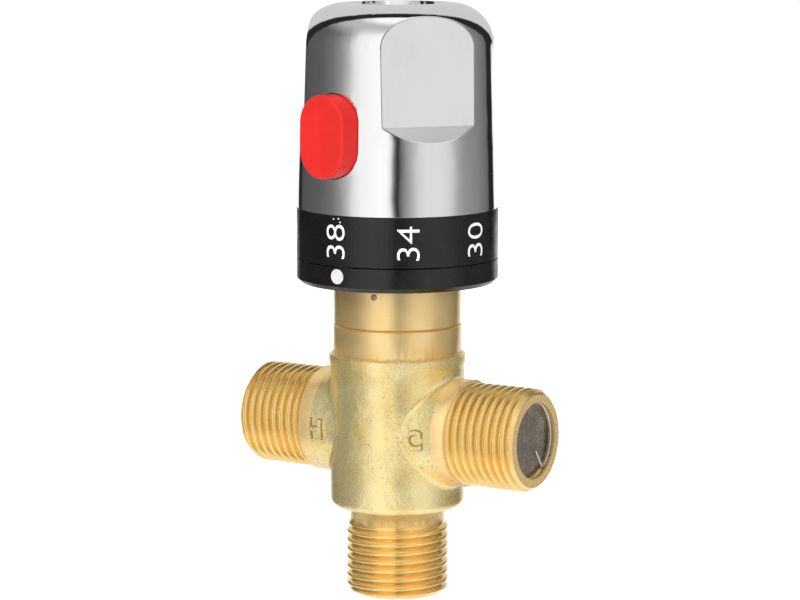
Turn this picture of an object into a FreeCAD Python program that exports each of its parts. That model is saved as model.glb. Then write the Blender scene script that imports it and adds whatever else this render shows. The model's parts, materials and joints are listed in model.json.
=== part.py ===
import FreeCAD, Part
import math
import os

# Thermostatic mixing valve, in millimetres, +Z up along the outlet and the knob.
# The origin is the centre of the outlet's end face. The hot arm points to -X, the cold arm to +X.

# --- Threads and clearances -------------------------------------------------------------------
thread_r = 20.955 / 2          # half-inch pipe thread, over the crests
thread_relief_r = 9.6          # turned relief behind each thread
relief_taper = 0.5
slip = 0.03                    # radial clearance of a piece fitted for good
running = 0.06                 # radial clearance of a piece that turns or slides
face_gap = 0.05                # clearance between faces of pieces that move against each other
safe_gap = 0.3                 # clearance of pieces that pass without touching
overcut = 1.0                  # how far a cutter goes past what it cuts
lap = 0.2                      # how deep a fused detail reaches into its carrier

# --- Seals, retaining rings and springs ----------------------------------------------------------
seal_groove_height = 1.4
seal_side_gap = 0.1
seal_fit = 0.02
clip_groove_height = 0.8
clip_thickness = 0.65
index_clip_gap = 50.0          # degrees
overload_clip_gap = 40.0
spindle_clip_gap = 70.0
spring_side = 0.8
small_spring_side = 0.6
stiff_spring_side = 1.2

# --- Cast body ---------------------------------------------------------------------------------
outlet_face_r = 9.4
outlet_bore_r = 7.25
outlet_thread_top = 14.9
outlet_neck_height = 3.0
body_r = 13.69
body_bottom_round = 1.8
barrel_below_boss = 2.4
barrel_above_boss = 0.4
lip_overhang = 0.31
lip_flare = 0.9
lip_height = 1.7
lip_edge = 0.5
boss_root_r = 11.75
boss_stand = 0.61
boss_blend = 1.4
band_r = 10.9
band_width = 3.0
band_step = 0.6
arm_relief_width = 0.9
arm_thread_length = 14.45
arm_face_r = 9.4
port_bore_r = 7.0
casting_bottom = outlet_thread_top + outlet_neck_height
arm_z = casting_bottom + body_bottom_round + barrel_below_boss + boss_blend + band_r
lip_bottom = arm_z + band_r + boss_blend + barrel_above_boss
body_top = lip_bottom + lip_flare + lip_height
lip_r = body_r + lip_overhang
band_start = body_r + boss_stand
band_end = band_start + band_width
arm_thread_start = band_end + arm_relief_width
arm_reach = arm_thread_start + arm_thread_length

# --- Wax capsule and mixing spool, from the axis outwards ------------------------------------------
capsule_r = 4.0
capsule_collar_width = 0.7
capsule_collar_height = 1.8
capsule_neck_r = 2.42
capsule_neck_height = 4.2
capsule_depth = 15.9
capsule_edge = 0.4
spool_wall = 1.4
spool_length = 11.0
spool_stroke_gap = 1.3
spool_groove_depth = 0.7
web_rise = 6.4
web_thickness = 1.6
flow_hole_r = 1.3
pin_rod_r = 1.0
pin_rod_depth = 3.9
pin_rod_edge = 0.3
pin_bore_spare = 1.5
return_spring_turns = 5
capsule_collar_r = capsule_r + capsule_collar_width
spool_inner_r = capsule_collar_r + spring_side + 2 * safe_gap
spool_r = spool_inner_r + spool_wall
spool_low = arm_z - spool_length / 2
spool_high = arm_z + spool_length / 2
web_low = spool_low + web_rise
web_high = web_low + web_thickness

# --- Cartridge sleeve and its chamber ------------------------------------------------------------
sleeve_wall = 2.58
gallery_depth = 1.3
gallery_height = 4.4
gallery_margin = 0.5
window_count = 6
window_width = 4.0
window_height = 3.2
seat_ledge = 0.2
seat_lip_height = 1.0
hot_seat_height = 3.2
cold_seat_height = 2.6
seal_end_wall = 0.7
seal_top_wall = 0.3
port_floor_depth = 2.4
port_window_width = 10.4
port_window_depth = 1.6
outlet_step_drop = 0.4
outlet_flare = 1.0
outlet_wide_r = 8.2
spool_bore_r = spool_r + running
chamber_r = spool_bore_r + sleeve_wall + running
gallery_r = chamber_r - gallery_depth
seat_r = spool_inner_r + seat_ledge
seat_lip_r = capsule_collar_r + safe_gap
hot_seat_z = spool_low - spool_stroke_gap
cold_seat_z = spool_high + spool_stroke_gap
chamber_floor = hot_seat_z - hot_seat_height
sleeve_top = cold_seat_z + cold_seat_height
port_floor = chamber_r + port_floor_depth
hot_gallery = (hot_seat_z - gallery_margin, hot_seat_z - gallery_margin + gallery_height)
cold_gallery = (cold_seat_z + gallery_margin - gallery_height, cold_seat_z + gallery_margin)

# --- Bonnet and headwork -----------------------------------------------------------------------
bonnet_thread_wall = 1.4
bonnet_undercut = 0.2
bonnet_floor_thickness = 2.0
bonnet_mouth_r = 6.5
bonnet_groove_rise = 1.8
bonnet_groove_depth = 1.2
bonnet_spigot_r = 10.9
bonnet_spigot_drop = 0.8
collar_r = 13.08
collar_height = 6.0
neck_step = 0.13
neck_height = 8.7
neck_edge = 0.25
headwork_gap = 0.1
thrust_r = 8.0
thrust_height = 3.4
index_seat_step = 0.7
index_seat_height = 4.5
shaft_housing_r = 9.0
key_seat_r = 7.6
key_flat = 6.8
key_seat_spare = 1.4
pin_r = 0.65
pin_drop = 1.8
pin_inset = 0.15
pin_deg = -79.1
bonnet_thread_r = chamber_r + bonnet_thread_wall
bonnet_bottom = sleeve_top + seal_fit
bonnet_floor_top = bonnet_bottom + bonnet_floor_thickness
bonnet_groove_z = sleeve_top + bonnet_groove_rise
bonnet_groove_r = bonnet_thread_r - bonnet_groove_depth
neck_joint_z = body_top + collar_height
neck_r = collar_r - neck_step
neck_top = neck_joint_z + neck_height
bonnet_top = neck_top - bonnet_spigot_drop
thrust_top = bonnet_top + thrust_height
index_seat_r = neck_r - index_seat_step
index_seat_top = neck_top + index_seat_height
pin_z = neck_top - pin_drop

# --- Setting carrier and overload plunger ----------------------------------------------------------
carrier_r = 8.12
carrier_flat = 7.2
carrier_bore_r = 5.8
carrier_roof = 2.0
carrier_floor_room = 1.6
carrier_roof_room = 2.1
carrier_shank_r = 3.95
carrier_shank_room = 2.0
overload_clip_rise = 0.55
overload_clip_depth = 0.55
plunger_nose_r = 2.6
plunger_nose_drop = 0.5
plunger_flange_height = 1.6
plunger_guide_r = 2.2
plunger_guide_height = 3.0
overload_spring_turns = 5
carrier_bottom = bonnet_floor_top + carrier_floor_room
carrier_top = bonnet_top - carrier_roof_room
carrier_ceiling = carrier_top - carrier_roof
plunger_z = carrier_bottom - plunger_nose_drop
plunger_flange_r = carrier_bore_r - safe_gap
plunger_flange_low = carrier_bottom + overload_clip_rise + clip_groove_height
plunger_flange_high = plunger_flange_low + plunger_flange_height

# --- Rings under the knob ------------------------------------------------------------------------
ring_r = 20.5
index_ring_height = 4.85
index_floor_thickness = 2.9
index_web_thickness = 2.0
index_hub_width = 2.6
index_ring_wall = 1.8
index_foot_edge = 0.9
index_clip_depth = 0.6
index_clip_width = 1.3
ring_gap = 0.25
dial_height = 9.9
dial_floor_thickness = 1.8
dial_wall = 1.9
dial_rim_height = 3.0
dial_spigot_height = 2.6
dial_spigot_wall = 1.35
index_ring_top = neck_top + index_ring_height
dial_bottom = index_ring_top + ring_gap
dial_top = dial_bottom + dial_height
dial_hole_r = shaft_housing_r + safe_gap
index_clip_z = neck_top + index_floor_thickness + seal_side_gap
index_clip_inner_r = index_seat_r - index_clip_depth

# --- Stop ring and the top of the headwork --------------------------------------------------------
stop_height = 2.6
stop_hub_r = 12.0
stop_sector_gap = 0.8
stop_peg_half_deg = 8.0
stop_peg_height = 9.0
stop_margin_deg = 1.0
cold_turn_deg = -96.0
hot_turn_deg = 134.0
tab_thickness = 1.0
tab_height = 3.6
tab_half_deg = 3.0
tab_margin_deg = 1.0
key_seat_bottom = dial_top
stop_top = key_seat_bottom + stop_height
headwork_top = stop_top + key_seat_spare
tab_top = stop_top + tab_height

# --- Spindle -----------------------------------------------------------------------------------
spindle_r = 5.55
spindle_thread_height = 8.0
spindle_seal_rise = 1.2
spindle_seal_pitch = 3.4
spindle_seal_depth = 1.0
spindle_clip_depth = 0.85
spindle_clip_width = 1.75
spline_r = 4.5
spline_depth = 0.4
spline_count = 20
spline_rise = 8.6
spline_length = 16.5
spline_lead = 1.0
spindle_thread_top = thrust_top + spindle_thread_height
spindle_seal_z = spindle_thread_top + spindle_seal_rise
spindle_seal_zs = (spindle_seal_z, spindle_seal_z + spindle_seal_pitch)
spindle_seal_r = spindle_r - spindle_seal_depth
spindle_clip_z = headwork_top + lap
spindle_groove_r = spindle_r - spindle_clip_depth
spindle_clip_r = spindle_r + spindle_clip_width
spline_bottom = dial_top + spline_rise
spindle_top = spline_bottom + spline_length
carrier_shank_top = spindle_thread_top - carrier_shank_room

# --- Knob ----------------------------------------------------------------------------------------
knob_foot_step = 0.05
knob_foot_edge = 0.3
knob_taper = 0.9
knob_skirt_height = 32.9
shoulder_r = 8.5
knob_wall = 2.1
core_shoulder_drop = 3.0
core_roof_bevel = 3.5
core_roof_drop = 1.6
crown_wall = 1.5
grip_count = 3
grip_depth = 2.1
grip_draft_deg = 2.1
grip_foot_rise = 17.8
grip_shelf_drop = 3.9
grip_shelf_reach = 3.3
grip_wall = 1.5
grip_edge_round = 0.7
well_r = 7.5
well_wall = 1.5
well_floor_gap = 0.1
well_floor_thickness = 3.0
boss_r = 6.8
cap_r = 9.1
cap_gap = 0.12
cap_sink = 2.55
cap_thickness = 1.65
cap_edge = 0.2
cap_dome = 0.35
cap_skirt_depth = 3.8
cap_skirt_wall = 1.2
cap_roof_wall = 1.95
screw_r = 2.0
screw_depth = 12.0
screw_hole_gap = 0.1
screw_head_r = 3.8
screw_head_height = 2.2
screw_head_edge = 0.6
screw_slot_depth = 1.2
screw_slot_half = 0.5
screw_slot_reach = 2.2
knob_foot_r = ring_r - knob_foot_step
knob_waist_r = knob_foot_r - knob_taper
shoulder_z = dial_top + knob_skirt_height
shoulder_axis_r = knob_waist_r - shoulder_r
knob_crown = shoulder_z + shoulder_r
grip_distance = knob_waist_r - grip_depth
grip_foot_z = dial_top + grip_foot_rise
well_floor = spindle_top + well_floor_gap
cap_seat_z = knob_crown - cap_sink
cap_top = cap_seat_z + cap_thickness
core_top = cap_seat_z - cap_roof_wall

# --- Safety button -------------------------------------------------------------------------------
button_deg = -97.4
button_width = 11.3
button_height = 16.7
button_rise = 15.8
button_stand = 3.35
button_pad_depth = 3.05
button_gap = 0.2
button_flange = 0.9
button_flange_thickness = 1.5
button_seat_gap = 0.1
button_pad_margin = 1.0
button_edge_round = 0.6
button_stroke = 2.6
button_pocket_r = 3.0
button_pocket_depth = 6.0
button_spring_turns = 6
spring_nub_gap = 0.4
spring_nub_length = 1.8
lug_width = 5.0
lug_thickness = 2.5
lug_hub_gap = 0.6
lug_tab_gap = 0.8
lug_arm_lap = 1.55
button_z = dial_top + button_rise
button_face = knob_foot_r + button_stand
button_pad = knob_foot_r - button_pad_depth
button_back = button_pad - button_seat_gap - button_flange_thickness
button_spring_r = button_pocket_r - small_spring_side / 2 - running - spring_nub_gap
lug_inner = spindle_clip_r + safe_gap + button_stroke
lug_outer = lug_inner + lug_thickness
lug_bottom = stop_top + lug_hub_gap
lug_arm_bottom = tab_top + lug_tab_gap
lug_arm_top = button_z - button_height / 2 + lug_arm_lap
tab_inner_r = math.hypot(lug_outer, lug_width / 2) + safe_gap
tab_outer_r = tab_inner_r + tab_thickness
stop_peg_deg = button_deg + 180.0
stop_peg_inner_r = stop_hub_r + 2 * safe_gap

# --- Check valves and strainers --------------------------------------------------------------------
strainer_recess = 2.15
strainer_seat_step = 0.75
strainer_thickness = 0.65
mesh_thickness = 0.3
strainer_rim_width = 0.8
snap_wire_r = 0.3
snap_inset = 1.0
snap_start_deg = 47.0
snap_sweep_deg = 300.0
snap_tail_length = 4.6
check_length = 13.5
check_wall = 1.3
check_groove_depth = 0.8
check_groove_drop = 3.2
check_seat_drop = 3.0
check_seat_thickness = 0.8
check_seat_overlap = 1.0
check_mouth_width = 1.2
poppet_gap = 0.64
poppet_thickness = 1.3
poppet_seal_thickness = 0.3
poppet_stem_r = 1.3
check_guide_thickness = 1.6
check_guide_rim = 0.9
check_guide_hub = 1.0
check_guide_arm_half = 0.6
check_spring_gap = 1.6
check_spring_turns = 4
strainer_seat = arm_reach - strainer_recess
strainer_seat_r = port_bore_r + strainer_seat_step
snap_x = arm_reach - snap_inset
snap_r = strainer_seat_r - slip
check_r = port_bore_r - running
check_inner_r = check_r - check_wall
check_inner = strainer_seat - check_length
check_seat_x = strainer_seat - check_seat_drop
check_groove_x = check_seat_x - check_groove_drop
poppet_r = check_inner_r - poppet_gap
check_seat_r = poppet_r - check_seat_overlap
check_spring_r = poppet_stem_r + check_spring_gap + small_spring_side / 2
poppet_top = check_seat_x - face_gap - poppet_seal_thickness

arc_middle = 1 - math.sqrt(0.5)  # where the middle of a quarter round lies, as a share of its radius

origin = FreeCAD.Vector(0, 0, 0)
axis_x = FreeCAD.Vector(1, 0, 0)
axis_y = FreeCAD.Vector(0, 1, 0)
axis_z = FreeCAD.Vector(0, 0, 1)


# --- Helpers -------------------------------------------------------------------------------------
def at(r, z):
    """A point of a turned profile: radius r, height z."""
    return FreeCAD.Vector(r, 0, z)


def turned(points):
    """A solid of revolution about Z. An entry ("arc", middle) bends the line to the next point."""
    edges = []
    last, bend = at(*points[0]), None
    for entry in list(points[1:]) + [points[0]]:
        if entry[0] == "arc":
            bend = at(*entry[1])
            continue
        point = at(*entry)
        if bend:
            edges.append(Part.Arc(last, bend, point).toShape())
        else:
            edges.append(Part.LineSegment(last, point).toShape())
        last, bend = point, None
    return Part.Face(Part.Wire(edges)).revolve(origin, axis_z, 360)


def rod(radius, low, high):
    """A cylinder about Z between two heights."""
    return Part.makeCylinder(radius, high - low, FreeCAD.Vector(0, 0, low))


def tube(outer, inner, low, high):
    """A straight ring about Z."""
    return rod(outer, low, high).cut(rod(inner, low, high))


def block(x_range, y_range, z_range):
    """A box given by its ranges along the three axes."""
    corner = FreeCAD.Vector(x_range[0], y_range[0], z_range[0])
    sizes = [b - a for a, b in (x_range, y_range, z_range)]
    return Part.makeBox(*sizes, corner)


def turn(shape, degrees):
    """A copy turned about Z."""
    copy = shape.copy()
    copy.rotate(origin, axis_z, degrees)
    return copy


def sector(outer, inner, low, high, start, end):
    """A piece of a ring between two angles in degrees."""
    body = Part.makeCylinder(outer, high - low, FreeCAD.Vector(0, 0, low), axis_z, end - start)
    return turn(body.cut(rod(inner, low, high)), start)


def on_arm(shape, side):
    """Lays a shape made about Z along an arm: side is +1 for cold, -1 for hot."""
    copy = shape.copy()
    copy.rotate(origin, axis_y, 90 * side)
    copy.translate(FreeCAD.Vector(0, 0, arm_z))
    return copy


def seal_ring(bore_r, floor_r, groove_z):
    """An O-ring squeezed between a bore and its groove's floor, bevelled at its outer corners."""
    outer, inner = bore_r - seal_fit, floor_r + slip
    low, high = groove_z + seal_side_gap, groove_z + seal_groove_height - seal_side_gap
    bevel = (outer - inner) / 4
    return turned([(inner, low), (outer - bevel, low), (outer, low + bevel), (outer, high - bevel),
                   (outer - bevel, high), (inner, high)])


def coil(mean_r, low, high, turns, side):
    """A compression spring about Z, of square wire, with open ends."""
    half = side / 2
    path = Part.makeHelix((high - low - side) / turns, high - low - side, mean_r)
    corners = [FreeCAD.Vector(mean_r + dx, 0, dz)
               for dx, dz in ((-half, -half), (half, -half), (half, half), (-half, half))]
    section = Part.makePolygon(corners + corners[:1])
    spring = Part.Wire(path.Edges).makePipeShell([section], True, True)
    spring.translate(FreeCAD.Vector(0, 0, low + half))
    return spring


def shaft_with_flats(radius, flat, low, high):
    """A round bar with two flats that face +Y and -Y."""
    return rod(radius, low, high).common(block((-radius, radius), (-flat, flat), (low, high)))


# --- Body and its waterways ----------------------------------------------------------------------
def threaded_spigot(relief_low, thread_low, end, face_r, root_r):
    """A spigot about Z that ends in a bevelled thread, with a turned relief below the thread."""
    bevel = thread_r - face_r
    return turned([(0, relief_low), (root_r, relief_low), (thread_relief_r, thread_low - relief_taper),
                   (thread_relief_r, thread_low), (thread_r, thread_low + bevel),
                   (thread_r, end - bevel), (face_r, end), (0, end)])


def arm_outside():
    """One arm about Z: cast boss with draft, machined band, relief and thread."""
    boss = turned([(0, 0), (boss_root_r, 0), (band_r, band_start), (band_r, band_end), (0, band_end)])
    spigot = threaded_spigot(band_end, arm_thread_start, arm_reach, arm_face_r, band_r - band_step)
    return boss, spigot


def arm_bore():
    """The waterway of one arm about Z, with its strainer seat and snap ring groove."""
    groove_r = snap_r + snap_wire_r + slip
    half_groove = snap_wire_r + slip
    bore = rod(port_bore_r, port_floor, arm_reach)
    seat = rod(strainer_seat_r, strainer_seat, arm_reach)
    groove = rod(groove_r, snap_x - half_groove, snap_x + half_groove)
    return bore.fuse([seat, groove])


def port_window(gallery):
    """The opening from the arm's bore to a gallery of the cartridge, for the +X arm."""
    half = port_window_width / 2
    return block((chamber_r - 2 * overcut, port_floor + port_window_depth), (-half, half), gallery)


def valve_body():
    barrel = turned([(0, casting_bottom), (body_r - body_bottom_round, casting_bottom),
                     ("arc", (body_r - body_bottom_round * arc_middle,
                              casting_bottom + body_bottom_round * arc_middle)),
                     (body_r, casting_bottom + body_bottom_round), (body_r, lip_bottom),
                     (lip_r, lip_bottom + lip_flare), (lip_r, body_top - lip_edge),
                     (lip_r - lip_edge, body_top), (0, body_top)])
    bosses, spigots = [], []
    for side in (1, -1):
        boss, spigot = arm_outside()
        bosses.append(on_arm(boss, side))
        spigots.append(on_arm(spigot, side))
    casting = turn(barrel, 90).fuse(bosses).removeSplitter()
    casting = casting.makeFillet(boss_blend, boss_root_edges(casting))
    outlet = threaded_spigot(-casting_bottom, -outlet_thread_top, 0, outlet_face_r, thread_relief_r)
    outlet.rotate(origin, axis_x, 180)
    step_z = casting_bottom - outlet_step_drop
    bonnet_seat_z = sleeve_top - bonnet_undercut
    waterway = turned([(0, 0), (outlet_bore_r, 0), (outlet_bore_r, step_z),
                       (outlet_wide_r, step_z + outlet_flare), (outlet_wide_r, chamber_floor),
                       (chamber_r, chamber_floor), (chamber_r, bonnet_seat_z), (bonnet_thread_r, bonnet_seat_z),
                       (bonnet_thread_r, body_top), (0, body_top)])
    cold_port = [on_arm(arm_bore(), 1), port_window(cold_gallery)]
    hot_port = [on_arm(arm_bore(), -1), turn(port_window(hot_gallery), 180)]
    return casting.fuse(spigots + [outlet]).cut([waterway] + cold_port + hot_port).removeSplitter()


def boss_root_edges(casting):
    """The curved edges where the bosses leave the barrel."""
    found = []
    for edge in casting.Edges:
        points = edge.discretize(9)
        on_barrel = all(abs(math.hypot(p.x, p.y) - body_r) < slip for p in points)
        off_axis = all(abs(p.x) > overcut for p in points)
        spans = max(p.z for p in points) - min(p.z for p in points)
        if on_barrel and off_axis and spans > port_bore_r:
            found.append(edge)
    return found


# --- Cartridge -----------------------------------------------------------------------------------
seal_groove_zs = (chamber_floor + seal_end_wall, (hot_gallery[1] + cold_gallery[0] - seal_groove_height) / 2,
                  sleeve_top - seal_top_wall - seal_groove_height)


def gallery_windows(radius_in, radius_out, low):
    """Cutters for the ring of windows of one gallery."""
    half = window_width / 2
    cutter = block((radius_in - overcut, radius_out + overcut), (-half, half), (low, low + window_height))
    return [turn(cutter, 360.0 / window_count * i) for i in range(window_count)]


def cartridge_sleeve():
    outer = chamber_r - running
    sleeve = turned([(seat_lip_r, chamber_floor), (outer, chamber_floor), (outer, sleeve_top),
                     (spool_bore_r, sleeve_top), (spool_bore_r, hot_seat_z), (seat_r, hot_seat_z),
                     (seat_r, chamber_floor + seat_lip_height), (seat_lip_r, chamber_floor + seat_lip_height)])
    grooves = [tube(outer + overcut, gallery_r, *hot_gallery), tube(outer + overcut, gallery_r, *cold_gallery)]
    grooves += [tube(outer + overcut, gallery_r, z, z + seal_groove_height) for z in seal_groove_zs]
    windows = gallery_windows(spool_bore_r, gallery_r, hot_seat_z)
    windows += gallery_windows(spool_bore_r, gallery_r, cold_seat_z - window_height)
    return sleeve.cut(grooves + windows)


def sleeve_seals():
    return Part.makeCompound([seal_ring(chamber_r, gallery_r, z) for z in seal_groove_zs])


def cold_seat_ring():
    return tube(spool_bore_r - slip, seat_r, cold_seat_z, sleeve_top)


spool_groove_r = spool_r - spool_groove_depth
spool_groove_z = arm_z - seal_groove_height / 2


def mixing_spool():
    spool = tube(spool_r, spool_inner_r, spool_low, spool_high)
    hub = capsule_neck_r + slip
    web = tube(spool_inner_r + lap, hub, web_low, web_high)
    hole_at = (spool_inner_r + hub) / 2
    flow = Part.makeCylinder(flow_hole_r, web_high - web_low, FreeCAD.Vector(hole_at, 0, web_low))
    groove = tube(spool_r + overcut, spool_groove_r, spool_groove_z, spool_groove_z + seal_groove_height)
    flows = [turn(flow, 360.0 / window_count * i) for i in range(window_count)]
    return spool.fuse(web).cut(flows + [groove])


def spool_seal():
    return seal_ring(spool_bore_r, spool_groove_r, spool_groove_z)


def wax_capsule():
    collar_low = web_low - capsule_collar_height
    bottom = web_low - capsule_depth
    neck_end = web_low + capsule_neck_height
    bend = capsule_r * arc_middle
    cup = turned([(0, bottom), ("arc", (capsule_r - bend, bottom + bend)), (capsule_r, bottom + capsule_r),
                  (capsule_r, collar_low), (capsule_collar_r, collar_low + capsule_edge),
                  (capsule_collar_r, web_low), (capsule_neck_r, web_low),
                  (capsule_neck_r, neck_end - capsule_edge), (capsule_neck_r - capsule_edge, neck_end),
                  (0, neck_end)])
    return cup.cut(rod(pin_rod_r + slip, web_low - pin_rod_depth - pin_bore_spare, neck_end))


def push_pin():
    low = web_low - pin_rod_depth
    return turned([(0, low), (pin_rod_r, low), (pin_rod_r, plunger_z - pin_rod_edge),
                   (pin_rod_r - pin_rod_edge, plunger_z), (0, plunger_z)])


def return_spring():
    mean_r = spool_inner_r - safe_gap - spring_side / 2
    return coil(mean_r, chamber_floor + seat_lip_height, web_low, return_spring_turns, spring_side)


# --- Bonnet, regulating train and headwork -------------------------------------------------------
def guide_bore(low, high):
    """The bore with two flats that keeps the carrier from turning."""
    return shaft_with_flats(carrier_r + running, carrier_flat + running, low, high)


def bonnet():
    outer = bonnet_thread_r - slip
    shell = turned([(0, bonnet_bottom), (outer, bonnet_bottom), (outer, body_top), (collar_r, body_top),
                    (collar_r, neck_joint_z - neck_edge), (collar_r - neck_edge, neck_joint_z),
                    (bonnet_spigot_r, neck_joint_z), (bonnet_spigot_r, bonnet_top), (0, bonnet_top)])
    cuts = [rod(bonnet_mouth_r, bonnet_bottom, bonnet_floor_top), guide_bore(bonnet_floor_top, bonnet_top),
            tube(outer + overcut, bonnet_groove_r, bonnet_groove_z, bonnet_groove_z + seal_groove_height),
            pin_hole()]
    return shell.cut(cuts)


def bonnet_seal():
    return seal_ring(bonnet_thread_r, bonnet_groove_r, bonnet_groove_z)


def pin_bar(radius, inner, outer):
    """A radial bar at the locating pin's place."""
    bar = Part.makeCylinder(radius, outer - inner, FreeCAD.Vector(inner, 0, pin_z), axis_x)
    return turn(bar, pin_deg)


def pin_hole():
    return pin_bar(pin_r + slip, carrier_r + overcut, neck_r + overcut)


def locating_pin():
    return pin_bar(pin_r, carrier_r + overcut, neck_r - pin_inset)


def headwork():
    bell_r = bonnet_spigot_r + slip
    outer = [(neck_r - neck_edge, neck_joint_z + slip), (neck_r, neck_joint_z + neck_edge), (neck_r, neck_top),
             (index_seat_r, neck_top), (index_seat_r, index_seat_top), (shaft_housing_r, index_seat_top),
             (shaft_housing_r, key_seat_bottom), (key_seat_r, key_seat_bottom), (key_seat_r, headwork_top)]
    bore_r = spindle_r + running
    pocket_r, pocket_top, pocket_low = thrust_r + running, thrust_top + face_gap, bonnet_top + headwork_gap
    inner = [(bore_r, headwork_top), (bore_r, pocket_top), (pocket_r, pocket_top), (pocket_r, pocket_low),
             (bell_r, pocket_low), (bell_r, neck_joint_z + slip)]
    across, key_heights = (-neck_r, neck_r), (key_seat_bottom, headwork_top)
    flats = [block(across, (key_flat, neck_r), key_heights), block(across, (-neck_r, -key_flat), key_heights)]
    clip_groove = tube(index_seat_r + overcut, index_clip_inner_r, index_clip_z,
                       index_clip_z + clip_groove_height)
    return turned(outer + inner).cut(flats + [clip_groove, pin_hole()])


def open_ring(inner, outer, groove_z, gap_deg):
    """A flat retaining ring that lies in the groove at a height, with its gap towards +Y."""
    low = groove_z + face_gap
    return sector(outer, inner, low, low + clip_thickness, 90 + gap_deg / 2, 450 - gap_deg / 2)


def index_clip():
    return open_ring(index_clip_inner_r + slip, index_seat_r + index_clip_width, index_clip_z, index_clip_gap)


def overload_plunger():
    low, high = plunger_flange_low, plunger_flange_high
    guide_top = high + plunger_guide_height
    return turned([(0, plunger_z), (plunger_nose_r, plunger_z), (plunger_nose_r, low),
                   (plunger_flange_r, low), (plunger_flange_r, high), (plunger_guide_r, high),
                   (plunger_guide_r, guide_top), (0, guide_top)])


def overload_clip():
    return open_ring(plunger_flange_r - 2 * safe_gap, carrier_bore_r + overload_clip_depth - face_gap,
                     carrier_bottom + overload_clip_rise, overload_clip_gap)


def overload_spring():
    mean_r = carrier_bore_r - 3 * safe_gap - stiff_spring_side / 2
    return coil(mean_r, plunger_flange_high, carrier_ceiling, overload_spring_turns, stiff_spring_side)


def setting_carrier():
    cup = shaft_with_flats(carrier_r, carrier_flat, carrier_bottom, carrier_top)
    shank = rod(carrier_shank_r, carrier_top, carrier_shank_top)
    hollow = rod(carrier_bore_r, carrier_bottom, carrier_ceiling)
    groove = tube(carrier_bore_r + overload_clip_depth, carrier_bore_r, carrier_bottom + overload_clip_rise,
                  plunger_flange_low)
    return cup.fuse(shank).cut([hollow, groove])


def splined_bar(radius, low, high):
    """A bar with spline_count triangular splines."""
    points = []
    for i in range(spline_count * 2):
        r = radius if i % 2 else radius - spline_depth
        angle = math.pi * i / spline_count
        points.append(FreeCAD.Vector(r * math.cos(angle), r * math.sin(angle), low))
    face = Part.Face(Part.makePolygon(points + points[:1]))
    return face.extrude(FreeCAD.Vector(0, 0, high - low))


def spindle():
    bar = turned([(0, bonnet_top + face_gap), (thrust_r, bonnet_top + face_gap), (thrust_r, thrust_top),
                  (spindle_r, thrust_top), (spindle_r, spline_bottom - spline_lead),
                  (spline_r, spline_bottom), (0, spline_bottom)])
    splines = splined_bar(spline_r, spline_bottom - lap, spindle_top)
    cuts = [rod(carrier_shank_r + running, bonnet_top, spindle_thread_top),
            tube(spindle_r + overcut, spindle_groove_r, spindle_clip_z, spindle_clip_z + clip_groove_height),
            rod(screw_r + slip, spindle_top - screw_depth - overcut, spindle_top)]
    cuts += [tube(spindle_r + overcut, spindle_seal_r, z, z + seal_groove_height) for z in spindle_seal_zs]
    return bar.fuse(splines).cut(cuts)


def spindle_seals():
    return Part.makeCompound([seal_ring(spindle_r + running, spindle_seal_r, z) for z in spindle_seal_zs])


def spindle_clip():
    return open_ring(spindle_groove_r + slip, spindle_clip_r, spindle_clip_z, spindle_clip_gap)


# --- Rings ---------------------------------------------------------------------------------------
def index_ring():
    inner = index_seat_r + slip
    floor_low = neck_top + slip
    wall_r = ring_r - index_ring_wall
    hub_r = index_seat_r + index_hub_width
    web_top = floor_low + index_web_thickness
    hub_top = neck_top + index_floor_thickness
    return turned([(inner, floor_low), (ring_r - index_foot_edge, floor_low),
                   (ring_r, floor_low + index_foot_edge), (ring_r, index_ring_top), (wall_r, index_ring_top),
                   (wall_r, web_top), (hub_r, web_top), (hub_r, hub_top), (inner, hub_top)])


def dial_throat_r():
    """The inner radius of the dial ring's spigot, which fits the knob's hollow."""
    return core_r_at(dial_top + dial_spigot_height) - running - dial_spigot_wall


def dial_ring():
    wall_r = ring_r - dial_wall
    spigot_r = dial_throat_r() + dial_spigot_wall
    throat_r = dial_throat_r()
    rim_low = dial_top - dial_rim_height
    floor_top = dial_bottom + dial_floor_thickness
    return turned([(dial_hole_r, dial_bottom), (ring_r, dial_bottom), (ring_r, dial_top),
                   (spigot_r, dial_top), (spigot_r, dial_top + dial_spigot_height),
                   (throat_r, dial_top + dial_spigot_height), (throat_r, rim_low),
                   (wall_r, rim_low - (wall_r - throat_r)), (wall_r, floor_top), (dial_hole_r, floor_top)])


def stop_ring():
    low = key_seat_bottom + slip
    hub = rod(stop_hub_r, low, stop_top)
    start = stop_peg_deg + hot_turn_deg + stop_peg_half_deg + stop_margin_deg
    end = stop_peg_deg + cold_turn_deg - stop_peg_half_deg - stop_margin_deg + 360
    limit = sector(dial_throat_r() - stop_sector_gap, stop_hub_r - lap, low, stop_top, start, end)
    lug_half_deg = math.degrees(math.atan2(lug_width / 2, lug_outer))
    tab_deg = button_deg + lug_half_deg + tab_margin_deg
    tab = sector(tab_outer_r, tab_inner_r, stop_top - lap, tab_top, tab_deg, tab_deg + 2 * tab_half_deg)
    bore = shaft_with_flats(key_seat_r + slip, key_flat + slip, low, stop_top)
    return hub.fuse([limit, tab]).cut(bore)


# --- Knob ----------------------------------------------------------------------------------------
def core_r_at(z):
    """The radius of the knob's hollow at a height: a wall in from the tapered outside."""
    taper = (knob_foot_r - knob_waist_r) / (shoulder_z - dial_top)
    return knob_foot_r - knob_wall - taper * (z - dial_top)


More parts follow.
